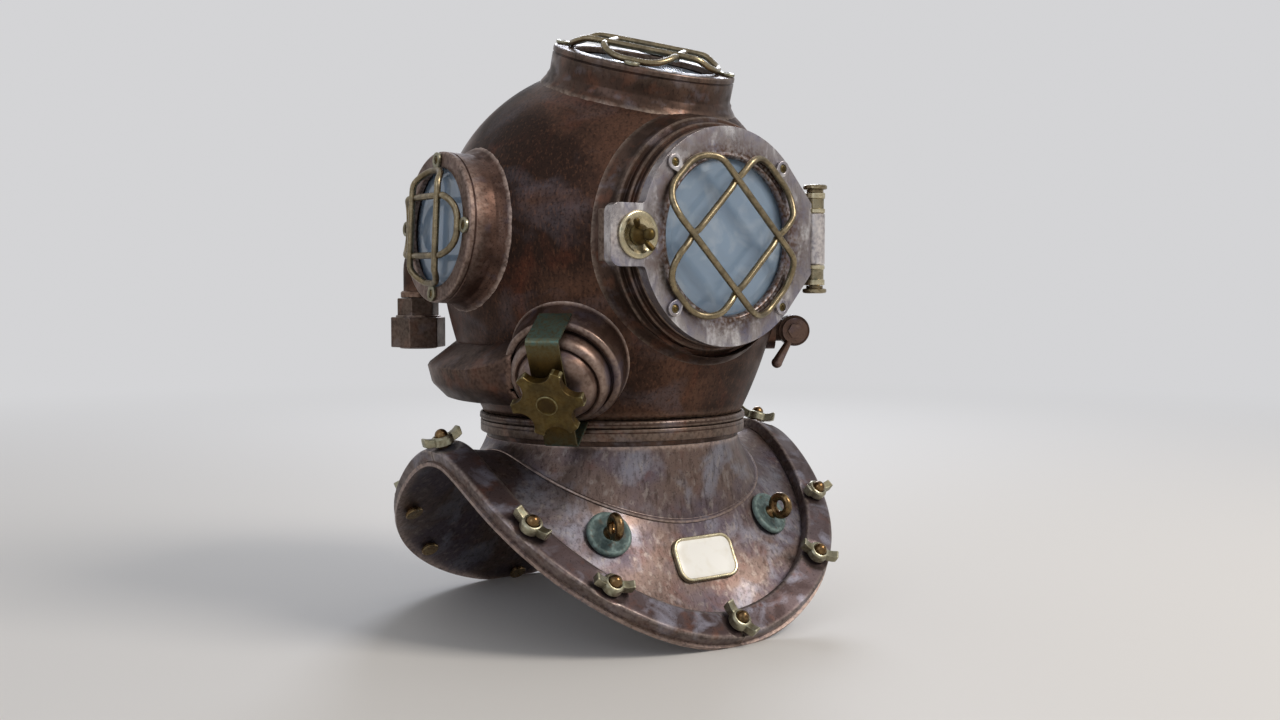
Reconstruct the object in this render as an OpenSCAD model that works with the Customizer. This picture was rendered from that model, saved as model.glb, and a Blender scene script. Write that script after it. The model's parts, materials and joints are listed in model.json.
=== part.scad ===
/* [Bonnet] */
// Outer radius of the round bonnet
bonnet_r = 152.5; // [149:0.5:156]
// Height of the bonnet's centre above the neck ring's lower edge
bonnet_z = 165.5; // [162:0.5:170]
// Thickness of the bonnet's copper
bonnet_wall = 3; // [2:0.5:4]
// Angle below the centre where the sphere runs into the long curve to the neck
bonnet_turn = 6; // [4:0.5:9]
// How far the bonnet's foot lies inside the edge of the neck rings
bonnet_foot_in = 2.3; // [1.5:0.1:4]

/* [Neck rings] */
// Radius of the opening that the diver's head goes through
neck_opening_r = 99; // [95:0.5:100]
// Width of the neck rings outside that opening
neck_ring_w = 17.3; // [16.5:0.1:19]
// Height of the breastplate's neck ring
lower_ring_h = 10.5; // [10:0.5:12]
// Height of the bonnet's neck ring that shows above the lower one
upper_ring_h = 6.4; // [5:0.2:8]
// Thickness of the leather gasket between the rings
gasket_h = 2.5; // [2:0.25:3.5]
// Angle that each thread segment covers
segment_angle = 40; // [30:1:43]

/* [Breastplate] */
// Half the width of the breastplate along its line of studs
rim_half_w = 168; // [164:0.5:172]
// Half the depth of the breastplate along its line of studs
rim_half_d = 162; // [158:0.5:166]
// Squareness of the rim seen from above, where 2 is an ellipse
plan_n = 2.6; // [2.2:0.1:3]
// Height of the rim at the shoulders
rim_side_z = -12.5; // [-18:0.5:-10]
// How far the rim falls from the shoulders to the chest
rim_drop = 137.5; // [120:0.5:145]
// Outward lean of the rim at the shoulders
lean_side = 18; // [10:1:24]
// Outward lean of the rim at the chest
lean_front = 45; // [38:1:52]
// Thickness of the breastplate's copper
plate_wall = 3.2; // [2.4:0.2:4]
// How far the neck's lower edge lies outside the neck ring at the shoulders
crease_side_out = 2.7; // [1:0.1:6]
// How far the neck's lower edge lies inside the neck ring at the chest
crease_front_in = 2.3; // [-2:0.1:3]
// Height of that line at the shoulders
crease_side_z = -12; // [-15:0.5:-11]
// How far that line falls from the shoulders to the chest
crease_drop = 54; // [45:0.5:60]
// Inward bow of the collar plate at the chest
apron_bow = 8; // [0:0.5:12]
// How gently the curve of the rim rounds over the shoulders
shoulder_ease = 0.15; // [0.05:0.01:0.3]
// Depth of the flat that the breastplate rests on at front and back
foot_cut = 2; // [1:0.25:3]

/* [Brails, studs and wing nuts] */
// Width of a brail
brail_w = 26; // [22:0.5:28]
// Thickness of a brail
brail_h = 9.6; // [7:0.2:11]
// Width of the corner cut along a brail's top edges
brail_chamfer = 2; // [1:0.25:3]
// How far the flange reaches past the brail
flange_lip = 2.5; // [1.5:0.25:5]
// Radius of a rim stud
stud_r = 5.5; // [4.5:0.1:6]
// Angle from the chest stud to the next one
stud_chest_angle = 38.4; // [34:0.2:42]
// Angle from the chest stud to the one before the shoulder
stud_shoulder_angle = 58.6; // [55:0.2:64]
// Radius of a wing nut's hub
nut_hub_r = 9; // [8:0.25:10]
// Height of a wing nut's hub
nut_h = 7.8; // [6:0.2:10]
// Distance from a wing nut's centre to the tips of its wings
wing_reach = 19; // [16:0.5:22]
// Height of the wings
wing_h = 9; // [7:0.5:11]
// Thickness of the wings
wing_t = 5; // [4:0.25:6]

/* [Front door] */
// Radius of the door's opening
door_opening_r = 62.7; // [60:0.1:64]
// How far the door's face stands out past the bonnet's curve
door_stand = 4.1; // [3:0.1:7.5]
// Thickness of the door
door_t = 9; // [8:0.25:10]
// Distance of the hinge pin from the door's edge
hinge_out_x = 10.3; // [9.5:0.1:13]
// Radius of the hinge pin
hinge_pin_r = 4.5; // [3.5:0.1:5]
// Radius of the hinge knuckles
knuckle_r = 8.4; // [7.5:0.1:9]
// Half the height of the door's knuckle
knuckle_half = 21.4; // [18:0.2:24]
// Height of each knuckle on the frame
frame_knuckle_h = 17; // [12:0.5:19]
// Distance of the latch screw from the door's edge
latch_out_x = 4; // [2.5:0.1:5.5]
// Length of the latch tab past the screw
latch_tab = 25; // [22:0.5:27]
// Half the height of the latch tab
latch_half = 24; // [21:0.5:26]
// Radius of the latch screw
latch_screw_r = 5; // [4:0.1:5.5]
// Radius of the dished washer under the latch screw
latch_washer_r = 18.6; // [16:0.2:20]
// Width of the ring that holds the door's glass from behind
glass_ring_w = 6.3; // [5:0.1:7]

/* [Front frame] */
// Width of the face that the door shuts on
frame_face_w = 12; // [10.5:0.1:13]
// Width of each of the frame's two outer steps
frame_step_w = 4.5; // [3.5:0.1:5]
// Depth of the lug on the frame that the latch screw turns into
latch_lug_h = 15; // [12:0.5:20]

/* [Side windows] */
// Angle of the side windows from the front
side_az = 94.5; // [92:0.5:97]
// Upward tilt of the side windows
side_tilt = 3; // [0:0.5:5]
// Outer radius of a side window's collar
side_r = 61.8; // [60:0.1:63]
// Radius of a side window's opening
side_opening_r = 48.7; // [46:0.1:49.5]
// How far a side window's face stands out past the bonnet's curve
side_stand = 17.8; // [15:0.1:20]

/* [Top window] */
// Forward lean of the top window from straight up
top_lean = 17; // [14:0.5:20]
// Outer radius of the top window's collar
top_r = 78.2; // [76:0.1:80]
// Radius of the top window's opening
top_opening_r = 60; // [58:0.1:62]
// How far the top window's face stands out past the bonnet's curve
top_stand = 7.5; // [6.5:0.1:10.5]

/* [Window glass and guards] */
// Thickness of the window glass
glass_t = 8; // [6:0.5:9]
// Width of the rebate that the glass sits in
rebate_w = 4; // [3:0.25:4.5]
// Thickness of the lip in front of the glass
lip_t = 4.5; // [4:0.25:5]
// Radius of the guard wire
wire_r = 2.2; // [1.8:0.1:2.6]
// Height of the guard wires over a window's face
guard_rise = 14; // [11:0.5:16]
// Corner radius of the loops on the door and the top window
guard_corner = 17; // [14:0.5:18]
// Corner radius of the loops on the side windows
side_guard_corner = 13; // [12:0.5:15]

/* [Exhaust valve] */
// Angle of the exhaust valve from the front, towards the wearer's right
valve_az = 52.2; // [50:0.2:55]
// Downward tilt of the exhaust valve
valve_dip = 30; // [26:0.5:33]
// How far the valve's base stands out past the bonnet's curve
valve_stand = 6.1; // [4:0.1:9]
// Height of the valve's base over the bonnet's neck ring
valve_rise = 44.5; // [43:0.1:47]
// Radius of the valve's base ring
valve_r = 47.6; // [46:0.1:49]
// Height of the handwheel's face over the valve's base
wheel_face = 53; // [51:0.5:56]
// Distance from the handwheel's centre to the tips of its horns
wheel_r = 30; // [27:0.5:32]
// Thickness of the handwheel
wheel_t = 8; // [6:0.5:9]
// Number of horns on the handwheel
wheel_horns = 6; // [5:1:8]
// Width of the bridge over the valve
bridge_w = 27; // [22:0.5:30]
// Travel of the exhaust disc
disc_travel = 6; // [4:0.5:7]

/* [Exhaust duct] */
// Angle from the front at which the duct's open end lies
duct_end_az = 136; // [125:1:140]
// How far the duct stands out past the bonnet's curve
duct_stand = 10; // [6:0.5:13]
// Height of the duct's lower edge
duct_z_low = 30; // [28:0.5:34]
// Height of the duct's upper edge
duct_z_high = 79; // [74:0.5:82]
// Thickness of the duct's sheet
duct_wall = 2; // [1.5:0.25:3]

/* [Air inlet and telephone connection] */
// Angle of the air inlet from the front, towards the wearer's right
inlet_az = 137; // [132:0.5:142]
// Distance of the air inlet's axis from the bonnet's curve
inlet_stand = 26.5; // [24:0.5:31]
// Height of the inlet's lower face
inlet_z_low = 71; // [68:0.5:74]
// Height of the inlet's lower hexagon
inlet_hex_h = 27; // [24:0.5:30]
// Radius of the lower hexagon over its corners
inlet_hex_r = 25; // [23:0.5:27]
// Outer radius of the inlet's tube
elbow_r = 13; // [11:0.5:15]
// Bend radius of the inlet's tube
elbow_bend = 27; // [24:1:32]
// Height of the inlet's tube over the bonnet's centre where it enters
pipe_rise = 1.5; // [-3:0.5:6]
// Radius of the socket that takes the air hose
hose_socket_r = 13; // [11:0.5:14]
// Depth of the socket that takes the air hose
hose_socket_depth = 14; // [10:0.5:15]
// Radius of the telephone gland
gland_r = 15; // [13:0.5:17]
// Radius of the socket that takes the telephone cable
cable_socket_r = 8; // [6:0.5:9]

/* [Spitcock] */
// Angle of the spitcock from the front, towards the wearer's left
spit_az = 53; // [50:0.5:57]
// Height of the spitcock
spit_z = 87; // [84:0.5:92]
// Distance of the spitcock's plug from the bonnet's curve
spit_stand = 20; // [18.5:0.5:24]
// Radius of the spitcock's barrel
spit_r = 13.5; // [12:0.25:15]
// Length of the spitcock's lever
lever_len = 36; // [28:1:40]

/* [Small fittings] */
// Angle of the lashing eyes from the front
eye_az = 38.5; // [36:0.5:41]
// Radius of a lashing eye's base
eye_base_r = 19; // [17:0.5:20]
// Width of the nameplate
plate_w = 62; // [50:1:66]
// Height of the nameplate
plate_h = 38; // [32:1:40]
// Length of the safety catch from its pin
catch_len = 10; // [9:0.5:11]

/* [Clearances] */
// Gap between fixed pieces that are seated on each other
seat_gap = 0.3; // [0.2:0.05:0.4]
// Radial clearance of pins and spindles
run_gap = 0.08; // [0.04:0.01:0.1]
// Gap between pieces that pass each other
pass_gap = 0.6; // [0.4:0.1:1]

/* [Hidden] */
$fn = 96;
copper = [0.44, 0.28, 0.23];
pale_copper = [0.62, 0.48, 0.44];
dark_copper = [0.33, 0.2, 0.17];
brass = [0.55, 0.45, 0.26];
bright_brass = [0.72, 0.66, 0.48];
green_brass = [0.38, 0.36, 0.16];
verdigris = [0.32, 0.44, 0.42];
cream = [0.93, 0.9, 0.82];
glass_blue = [0.6, 0.7, 0.78, 0.4];
rubber = [0.12, 0.11, 0.1];
leather = [0.3, 0.2, 0.12];

// Thread segments round each neck ring: the bonnet locks in an eighth of a turn
segments = 4;
unlock_turn = 180 / segments;

// Neck rings
neck_ring_r = neck_opening_r + neck_ring_w;
gasket_w = 5;
lug_w = 3.8;
gasket_r = neck_opening_r + gasket_w;
lug_mid_r = gasket_r + seat_gap;
ring_wall_r = lug_mid_r + lug_w;
ring_foot_r = neck_ring_r - 5.3;
ring_edge = 1.5;
ring_foot_h = 4;
lug_gap_z = lower_ring_h / 2;
upper_ring_z = lower_ring_h + seat_gap;
upper_ring_top = upper_ring_z + upper_ring_h;

// Bonnet outline: a sphere that runs tangent into a wide curve down to the neck
bonnet_foot_r = neck_ring_r - bonnet_foot_in;
turn_x = bonnet_r * cos(bonnet_turn);
turn_z = bonnet_z - bonnet_r * sin(bonnet_turn);
foot_z = upper_ring_top + seat_gap;
foot_dx = turn_x - bonnet_foot_r;
foot_dz = turn_z - foot_z;
foot_lean = foot_dx * cos(bonnet_turn) - foot_dz * sin(bonnet_turn);
skirt_r = (foot_dx * foot_dx + foot_dz * foot_dz) / (2 * foot_lean);
skirt_x = turn_x - skirt_r * cos(bonnet_turn);
skirt_z = turn_z + skirt_r * sin(bonnet_turn);
outline_steps = 9;
dome_steps = 20;

// Radius of the bonnet's outside at a height, grown by a gap
function bonnet_at(z, gap = 0) =
  z > turn_z ? sqrt(pow(bonnet_r + gap, 2) - pow(z - bonnet_z, 2))
             : skirt_x + sqrt(pow(skirt_r + gap, 2) - pow(skirt_z - z, 2));

function bonnet_outline(gap, low) = concat(
  [for (i = [0:outline_steps]) let (z = low + (turn_z - low) * i / outline_steps) [bonnet_at(z, gap), z]],
  [for (i = [1:dome_steps]) let (a = -bonnet_turn + (90 + bonnet_turn) * i / dome_steps)
    [(bonnet_r + gap) * cos(a), bonnet_z + (bonnet_r + gap) * sin(a)]]);

// How far each fitting's face or axis lies from the bonnet's centre or axis
door_face = bonnet_r + door_stand;
side_face = bonnet_r + side_stand;
top_face = bonnet_r + top_stand;
duct_r = bonnet_r + duct_stand;
inlet_out = bonnet_r + inlet_stand;
spit_out = bonnet_at(spit_z) + spit_stand;
valve_z = foot_z + valve_rise - seat_gap;
valve_out = bonnet_at(valve_z) + valve_stand;
function reach_of(r) = sqrt(bonnet_r * bonnet_r - r * r);

// Points and directions on the breastplate
function round_up(v) = v / norm(v);
function at(phi, rho, z) = [rho * sin(phi), -rho * cos(phi), z];
function plan_r(phi, a, b) =
  pow(pow(abs(sin(phi)) / a, plan_n) + pow(abs(cos(phi)) / b, plan_n), -1 / plan_n);
function eased(x) = sqrt(x * x + shoulder_ease * shoulder_ease) - shoulder_ease;
function fall(phi, power) = pow(max(0, eased(cos(phi)) / eased(1)), power);
function bend(a, b, c, t) = (1 - t) * (1 - t) * a + 2 * t * (1 - t) * b + t * t * c;

rim_power = 1.16;
crease_power = 1.33;
crease_half_w = neck_ring_r + crease_side_out;
crease_half_d = neck_ring_r - crease_front_in;
function rim_point(phi) =
  at(phi, plan_r(phi, rim_half_w, rim_half_d), rim_side_z - rim_drop * fall(phi, rim_power));
function rim_along(phi) = round_up(rim_point(phi + 1) - rim_point(phi - 1));
function rim_lean(phi) = lean_side + (lean_front - lean_side) * fall(phi, rim_power);
function rim_out(phi) = round_up(cross(at(phi, cos(rim_lean(phi)), -sin(rim_lean(phi))), rim_along(phi)));
function rim_across(phi) = cross(rim_along(phi), rim_out(phi));
function on_rim(phi, across, out) = rim_point(phi) + across * rim_across(phi) + out * rim_out(phi);

apron_edge = brail_w / 2 + 2;
flange_edge = brail_w / 2 + flange_lip;
tuck = 5;
function crease(phi) =
  at(phi, plan_r(phi, crease_half_w, crease_half_d),
    crease_side_z - crease_drop * fall(phi, crease_power));
function apron_end(phi) = on_rim(phi, -apron_edge, 0);
function apron_mid(phi) =
  (crease(phi) + apron_end(phi)) / 2 + at(phi, -apron_bow * fall(phi, rim_power), 0);
function apron(phi, t) = bend(crease(phi), apron_mid(phi), apron_end(phi), t);
function apron_dir(phi) = round_up(apron_mid(phi) - crease(phi));

// Rows of points across the collar plate, from under the neck out to the edge of the flange
apron_rows = 5;
collar_rows = apron_rows + 3;
function collar_row(phi, k) =
  k == 0 ? crease(phi) - tuck * apron_dir(phi) :
  k <= apron_rows ? apron(phi, (k - 1) / (apron_rows - 1)) :
  k == apron_rows + 1 ? rim_point(phi) : on_rim(phi, flange_edge, 0);
function collar_out(phi, k) = let (
    a = collar_row(phi, max(k - 1, 0)),
    b = collar_row(phi, min(k + 1, collar_rows - 1)),
    c = collar_row(phi - 2, k),
    d = collar_row(phi + 2, k))
  round_up(cross(b - a, d - c));

// Solid through a run of outlines with the same number of points, closed or with flat ends
module loft(rings, closed = true) {
  n = len(rings);
  m = len(rings[0]);
  spans = closed ? n : n - 1;
  sides = [for (i = [0:spans - 1], j = [0:m - 1]) let (
      a = i * m + j,
      b = i * m + (j + 1) % m,
      c = ((i + 1) % n) * m + j,
      d = ((i + 1) % n) * m + (j + 1) % m)
    each [[a, b, d], [a, d, c]]];
  ends = closed ? [] : [[for (j = [m - 1:-1:0]) j], [for (j = [0:m - 1]) (n - 1) * m + j]];
  polyhedron(points = [for (r = rings) each r], faces = concat(sides, ends));
}

// Places children with their z axis pointing out of the bonnet's centre
module facing(az, tilt) {
  translate([0, 0, bonnet_z])
    rotate([0, 0, az])
      rotate([90 - tilt, 0, 0])
        children();
}

// Places children on the rim with their z axis along the rim's own normal
module on_stud(phi) {
  v = rim_out(phi);
  translate(rim_point(phi))
    rotate([0, acos(v.z), atan2(v.y, v.x)])
      children();
}

module tube(r, inner, h) {
  difference() {
    cylinder(r = r, h = h);
    translate([0, 0, -1])
      cylinder(r = inner, h = h + 2);
  }
}

module ring_sector(inner, outer, z, h, angle) {
  rotate([0, 0, -angle / 2])
    rotate_extrude(angle = angle)
      translate([inner, z])
        square([outer - inner, h]);
}

module bonnet_solid(gap) {
  rotate_extrude()
    polygon(concat([[0, foot_z - 5]], bonnet_outline(gap, foot_z - 5)));
}

// Breastplate

phi_step = 5;
module collar_sheet() {
  loft([for (phi = [0:phi_step:360 - phi_step]) concat(
    [for (k = [0:collar_rows - 1]) collar_row(phi, k)],
    [for (k = [collar_rows - 1:-1:0]) collar_row(phi, k) - plate_wall * collar_out(phi, k)])]);
}

STUDS = [
  0, stud_chest_angle, stud_shoulder_angle, 90, 180 - stud_shoulder_angle, 180 - stud_chest_angle,
  180, 180 + stud_chest_angle, 180 + stud_shoulder_angle,
  270, 360 - stud_shoulder_angle, 360 - stud_chest_angle
];
foot_z_low = on_rim(0, flange_edge, -plate_wall).z + foot_cut;

module breastplate() {
  color(copper)
    difference() {
      collar_sheet();
      for (phi = STUDS)
        on_stud(phi)
          translate([0, 0, -plate_wall - 8])
            cylinder(r = stud_r + seat_gap, h = plate_wall + 16, $fn = 32);
      translate([-rim_half_w * 2, -rim_half_w * 2, foot_z_low - rim_drop])
        cube([rim_half_w * 4, rim_half_w * 4, rim_drop]);
    }
}

// Outline of the neck's wall: down the outside, then up the inside, clear of the collar plate
neck_rows = 5;
neck_top_z = -ring_foot_h - seat_gap;
function neck_low(phi, depth) = let (d = apron_mid(phi) - crease(phi), run = norm([d.x, d.y]))
  crease(phi) - d * depth / run + [0, 0, seat_gap];
function neck_side(phi, depth, t) = let (
    a = at(phi, ring_foot_r - depth, neck_top_z),
    c = neck_low(phi, depth),
    b = (a + c) / 2 + at(phi, -2, 0))
  bend(a, b, c, t);

module breastplate_neck() {
  color(copper)
    loft([for (phi = [0:phi_step:360 - phi_step]) concat(
      [for (i = [0:neck_rows - 1]) neck_side(phi, 0, i / (neck_rows - 1))],
      [for (i = [neck_rows - 1:-1:0]) neck_side(phi, plate_wall, i / (neck_rows - 1))])]);
}

catch_pin_r = 2.5;
catch_hub_r = 4.5;
catch_w = 6;
catch_t = 4;
catch_ear_t = 3;
catch_pin_z = lower_ring_h / 2;
catch_y = neck_ring_r + catch_hub_r + pass_gap;
module breastplate_ring() {
  color(pale_copper) {
    rotate_extrude()
      polygon([
        [neck_opening_r, -ring_foot_h], [ring_foot_r, -ring_foot_h], [ring_foot_r, 0],
        [neck_ring_r - 1, 0], [neck_ring_r, 1], [neck_ring_r, lower_ring_h - ring_edge],
        [neck_ring_r - ring_edge, lower_ring_h], [ring_wall_r, lower_ring_h], [ring_wall_r, 0],
        [neck_opening_r, 0]]);
    for (i = [0:segments - 1])
      rotate([0, 0, 360 / segments * i])
        ring_sector(lug_mid_r, ring_wall_r + 1, lug_gap_z, lower_ring_h - lug_gap_z, segment_angle);
    catch_ears();
  }
}

// Two ears on the back of the ring, and the pin between them that the catch turns on
module catch_ears() {
  ear_in = catch_w / 2 + seat_gap;
  for (side = [-1, 1])
    translate([side * (ear_in + catch_ear_t / 2), 0, catch_pin_z]) {
      translate([-catch_ear_t / 2, neck_ring_r - ring_edge, -catch_hub_r + 0.5])
        cube([catch_ear_t, catch_y - neck_ring_r + ring_edge, catch_hub_r * 2 - 1]);
      translate([0, catch_y, 0])
        rotate([0, 90, 0])
          cylinder(r = catch_hub_r - 0.5, h = catch_ear_t, center = true, $fn = 32);
    }
  translate([0, catch_y, catch_pin_z])
    rotate([0, 90, 0])
      cylinder(r = catch_pin_r, h = catch_w + catch_ear_t, center = true, $fn = 32);
}

// The catch hangs down at rest, and swings out and up between the forks of the bonnet's ring
module safety_catch() {
  color(brass)
    translate([0, catch_y, catch_pin_z])
      difference() {
        union() {
          rotate([0, 90, 0])
            cylinder(r = catch_hub_r, h = catch_w, center = true, $fn = 32);
          translate([-catch_w / 2, -catch_t / 2, -catch_len])
            cube([catch_w, catch_t, catch_len]);
          translate([0, 0, -catch_len])
            rotate([90, 0, 0])
              cylinder(r = catch_w / 2, h = catch_t, center = true, $fn = 32);
        }
        rotate([0, 90, 0])
          cylinder(r = catch_pin_r + run_gap, h = catch_w + 2, center = true, $fn = 32);
      }
}

module neck_gasket() {
  color(leather)
    translate([0, 0, seat_gap])
      tube(gasket_r, neck_opening_r + 0.5, gasket_h - seat_gap);
}

// How far the plate falls away from a stud's axis under the stud's head
stud_head_r = stud_r + 2.5;
stud_head_h = 2.5;
function stud_drop(phi) = max([for (step = [-phi_step, phi_step])
  let (d = rim_point(phi + step) - rim_point(phi))
    max(0, -(d * rim_out(phi))) * stud_head_r / norm(d)]);

function stud_outline(seat) = concat(
  [[0, -seat - stud_head_h], [stud_head_r, -seat - stud_head_h], [stud_head_r, -seat], [stud_r, -seat]],
  [for (a = [0:10:90]) [stud_r * cos(a), nut_top + stud_r * sin(a)]]);

module rim_studs() {
  color(bright_brass)
    for (phi = STUDS)
      on_stud(phi)
        rotate_extrude($fn = 32)
          polygon(stud_outline(plate_wall + seat_gap + stud_drop(phi)));
}

// Brails: four straps on the rim that meet under the wing nuts at chest, back and shoulders
module brail(from, to) {
  low = seat_gap;
  top = seat_gap + brail_h;
  half = brail_w / 2;
  trim = 0.15;
  steps = round((to - from) / phi_step);
  difference() {
    loft([for (i = [0:steps]) let (phi = from + trim + (to - from - 2 * trim) * i / steps) [
      on_rim(phi, -half, top - brail_chamfer),
      on_rim(phi, -half + brail_chamfer, top),
      on_rim(phi, half - brail_chamfer, top),
      on_rim(phi, half, top - brail_chamfer),
      on_rim(phi, half, low),
      on_rim(phi, -half, low)]], false);
    for (phi = STUDS)
      on_stud(phi)
        cylinder(r = stud_r + seat_gap, h = brail_h * 3, center = true, $fn = 32);
  }
}
module brail_front_left() {
  color(copper) brail(0, 90);
}
module brail_front_right() {
  color(copper) brail(270, 360);
}
module brail_rear_left() {
  color(copper) brail(90, 180);
}
module brail_rear_right() {
  color(copper) brail(180, 270);
}

nut_low = seat_gap * 2 + brail_h;
nut_top = nut_low + nut_h;
wing_lift = 18;
module wing_nut(i) {
  color(bright_brass)
    on_stud(STUDS[i])
      rotate([0, 0, 37 * i + 20])
        difference() {
          union() {
            translate([0, 0, nut_low])
              cylinder(r = nut_hub_r, h = nut_h, $fn = 48);
            for (side = [0, 180])
              rotate([0, 0, side])
                translate([nut_hub_r - 2.5, -wing_t / 2, nut_low + 0.5])
                  rotate([0, -wing_lift, 0])
                    cube([wing_reach - nut_hub_r + 2.5, wing_t, wing_h]);
          }
          translate([0, 0, -1])
            cylinder(r = stud_r + run_gap, h = nut_top + 20, $fn = 48);
        }
}

// Fittings on the breastplate
eye_t = 0.42;
eye_base_h = 4;
eye_lift = 1.1;
eye_stem_h = 5;
eye_stem_r = 6;
eye_ring_r = 8;
eye_wire_r = 3.6;
eye_reach = seat_gap + eye_lift + eye_base_h + seat_gap + eye_ring_r + eye_wire_r;
function apron_out(phi, t) = let (
    a = apron(phi, t - 0.05),
    b = apron(phi, t + 0.05),
    c = apron(phi - 2, t),
    d = apron(phi + 2, t))
  round_up(cross(b - a, d - c));

// Places children on the collar plate with z along its normal and x along the rim's way round
module on_apron(phi, t) {
  v = apron_out(phi, t);
  translate(apron(phi, t))
    rotate([0, 0, atan2(v.y, v.x) + 90])
      rotate([acos(v.z), 0, 0])
        children();
}

module lashing_eye_bases() {
  color(verdigris)
    for (phi = [eye_az, -eye_az])
      on_apron(phi, eye_t)
        translate([0, 0, seat_gap + eye_lift])
          difference() {
            cylinder(r1 = eye_base_r, r2 = eye_base_r - 1.5, h = eye_base_h);
            translate([0, 0, -1])
              cylinder(r = eye_stem_r + run_gap, h = eye_base_h + 2, $fn = 48);
          }
}

module lashing_eyes() {
  color(brass)
    for (phi = [eye_az, -eye_az])
      on_apron(phi, eye_t)
        difference() {
          union() {
            translate([0, 0, seat_gap + eye_lift])
              cylinder(r = eye_stem_r, h = eye_base_h + eye_stem_h, $fn = 48);
            translate([0, 0, eye_reach])
              rotate([0, 90, 0])
                rotate_extrude()
                  translate([eye_ring_r, 0])
                    circle(r = eye_wire_r, $fn = 32);
          }
          translate([0, 0, eye_reach])
            rotate([0, 90, 0])
              cylinder(r = eye_ring_r - eye_wire_r, h = eye_base_r * 2, center = true, $fn = 48);
        }
}

plate_t = 0.43;
plate_lift = 1.8;
plate_r = 11;
plate_h_thick = 2.4;
plate_rim_w = 3;
plate_rim_h = 1.4;
module rounded(w, h, r, t) {
  linear_extrude(height = t)
    union() {
      square([w - 2 * r, h], center = true);
      square([w, h - 2 * r], center = true);
      for (x = [-1, 1], y = [-1, 1])
        translate([x * (w / 2 - r), y * (h / 2 - r)])
          circle(r = r, $fn = 48);
    }
}
module nameplate() {
  color(cream)
    on_apron(0, plate_t)
      translate([0, 0, seat_gap + plate_lift])
        difference() {
          rounded(plate_w, plate_h, plate_r, plate_h_thick + plate_rim_h);
          translate([0, 0, plate_h_thick])
            rounded(plate_w - 2 * plate_rim_w, plate_h - 2 * plate_rim_w, plate_r - plate_rim_w,
              plate_rim_h + 1);
        }
}

// Bonnet

valve_hole_r = 26;
valve_hole_depth = 60;
inlet_hole_r = elbow_r - 3;
module place_valve() {
  rotate([0, 0, -valve_az])
    translate([0, -valve_out, valve_z])
      rotate([90 + valve_dip, 0, 0])
        children();
}
module place_pipe(side) {
  rotate([0, 0, -side * inlet_az])
    children();
}
module place_spit() {
  rotate([0, 0, spit_az])
    translate([0, 0, spit_z])
      rotate([90, 0, 0])
        children();
}

module bonnet_holes() {
  facing(0, 0)
    cylinder(r = frame_opening_r, h = bonnet_r * 2);
  for (side = [-1, 1])
    facing(side * side_az, side_tilt)
      cylinder(r = side_opening_r + rebate_w, h = bonnet_r * 2);
  facing(0, 90 - top_lean)
    cylinder(r = top_opening_r + rebate_w, h = bonnet_r * 2);
  place_valve()
    translate([0, 0, -valve_hole_depth])
      cylinder(r = valve_hole_r, h = valve_hole_depth + valve_r);
  for (side = [-1, 1])
    place_pipe(side)
      translate([0, 0, pipe_top_z])
        rotate([90, 0, 0])
          cylinder(r = inlet_hole_r, h = bonnet_r * 2);
  place_spit()
    cylinder(r = spit_bore_r, h = bonnet_r * 2, $fn = 32);
}

module bonnet_shell() {
  color(copper)
    difference() {
      rotate_extrude()
        polygon(concat(bonnet_outline(0, foot_z), inside_out(bonnet_outline(-bonnet_wall, foot_z))));
      bonnet_holes();
    }
}
function inside_out(list) = [for (i = [len(list) - 1:-1:0]) list[i]];

fork_gap = 1.2;
fork_w = 4;
fork_inset = 0.4;
fork_root = 3;
lug_h = 2;
module bonnet_ring() {
  bead = 1.6;
  color(pale_copper) {
    rotate_extrude()
      polygon([
        [neck_opening_r, gasket_h + seat_gap], [gasket_r, gasket_h + seat_gap], [gasket_r, upper_ring_z],
        [neck_ring_r - bead, upper_ring_z], [neck_ring_r + 0.7, upper_ring_z + bead],
        [neck_ring_r + 0.7, upper_ring_top - bead], [neck_ring_r - bead, upper_ring_top],
        [neck_opening_r, upper_ring_top]]);
    for (i = [0:segments - 1])
      rotate([0, 0, 360 / segments * i])
        ring_sector(gasket_r - 1, ring_wall_r - seat_gap, lug_gap_z - lug_h - seat_gap, lug_h,
          segment_angle);
    for (turn = [0, -unlock_turn], side = [-1, 1])
      rotate([0, 0, turn])
        translate([
          side * (catch_w / 2 + fork_gap + fork_w / 2) - fork_w / 2, neck_ring_r - fork_root,
          upper_ring_z + fork_inset])
          cube([fork_w, fork_root + catch_y - neck_ring_r + catch_t / 2, upper_ring_h - 2 * fork_inset]);
  }
}

// Front frame and door

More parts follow.
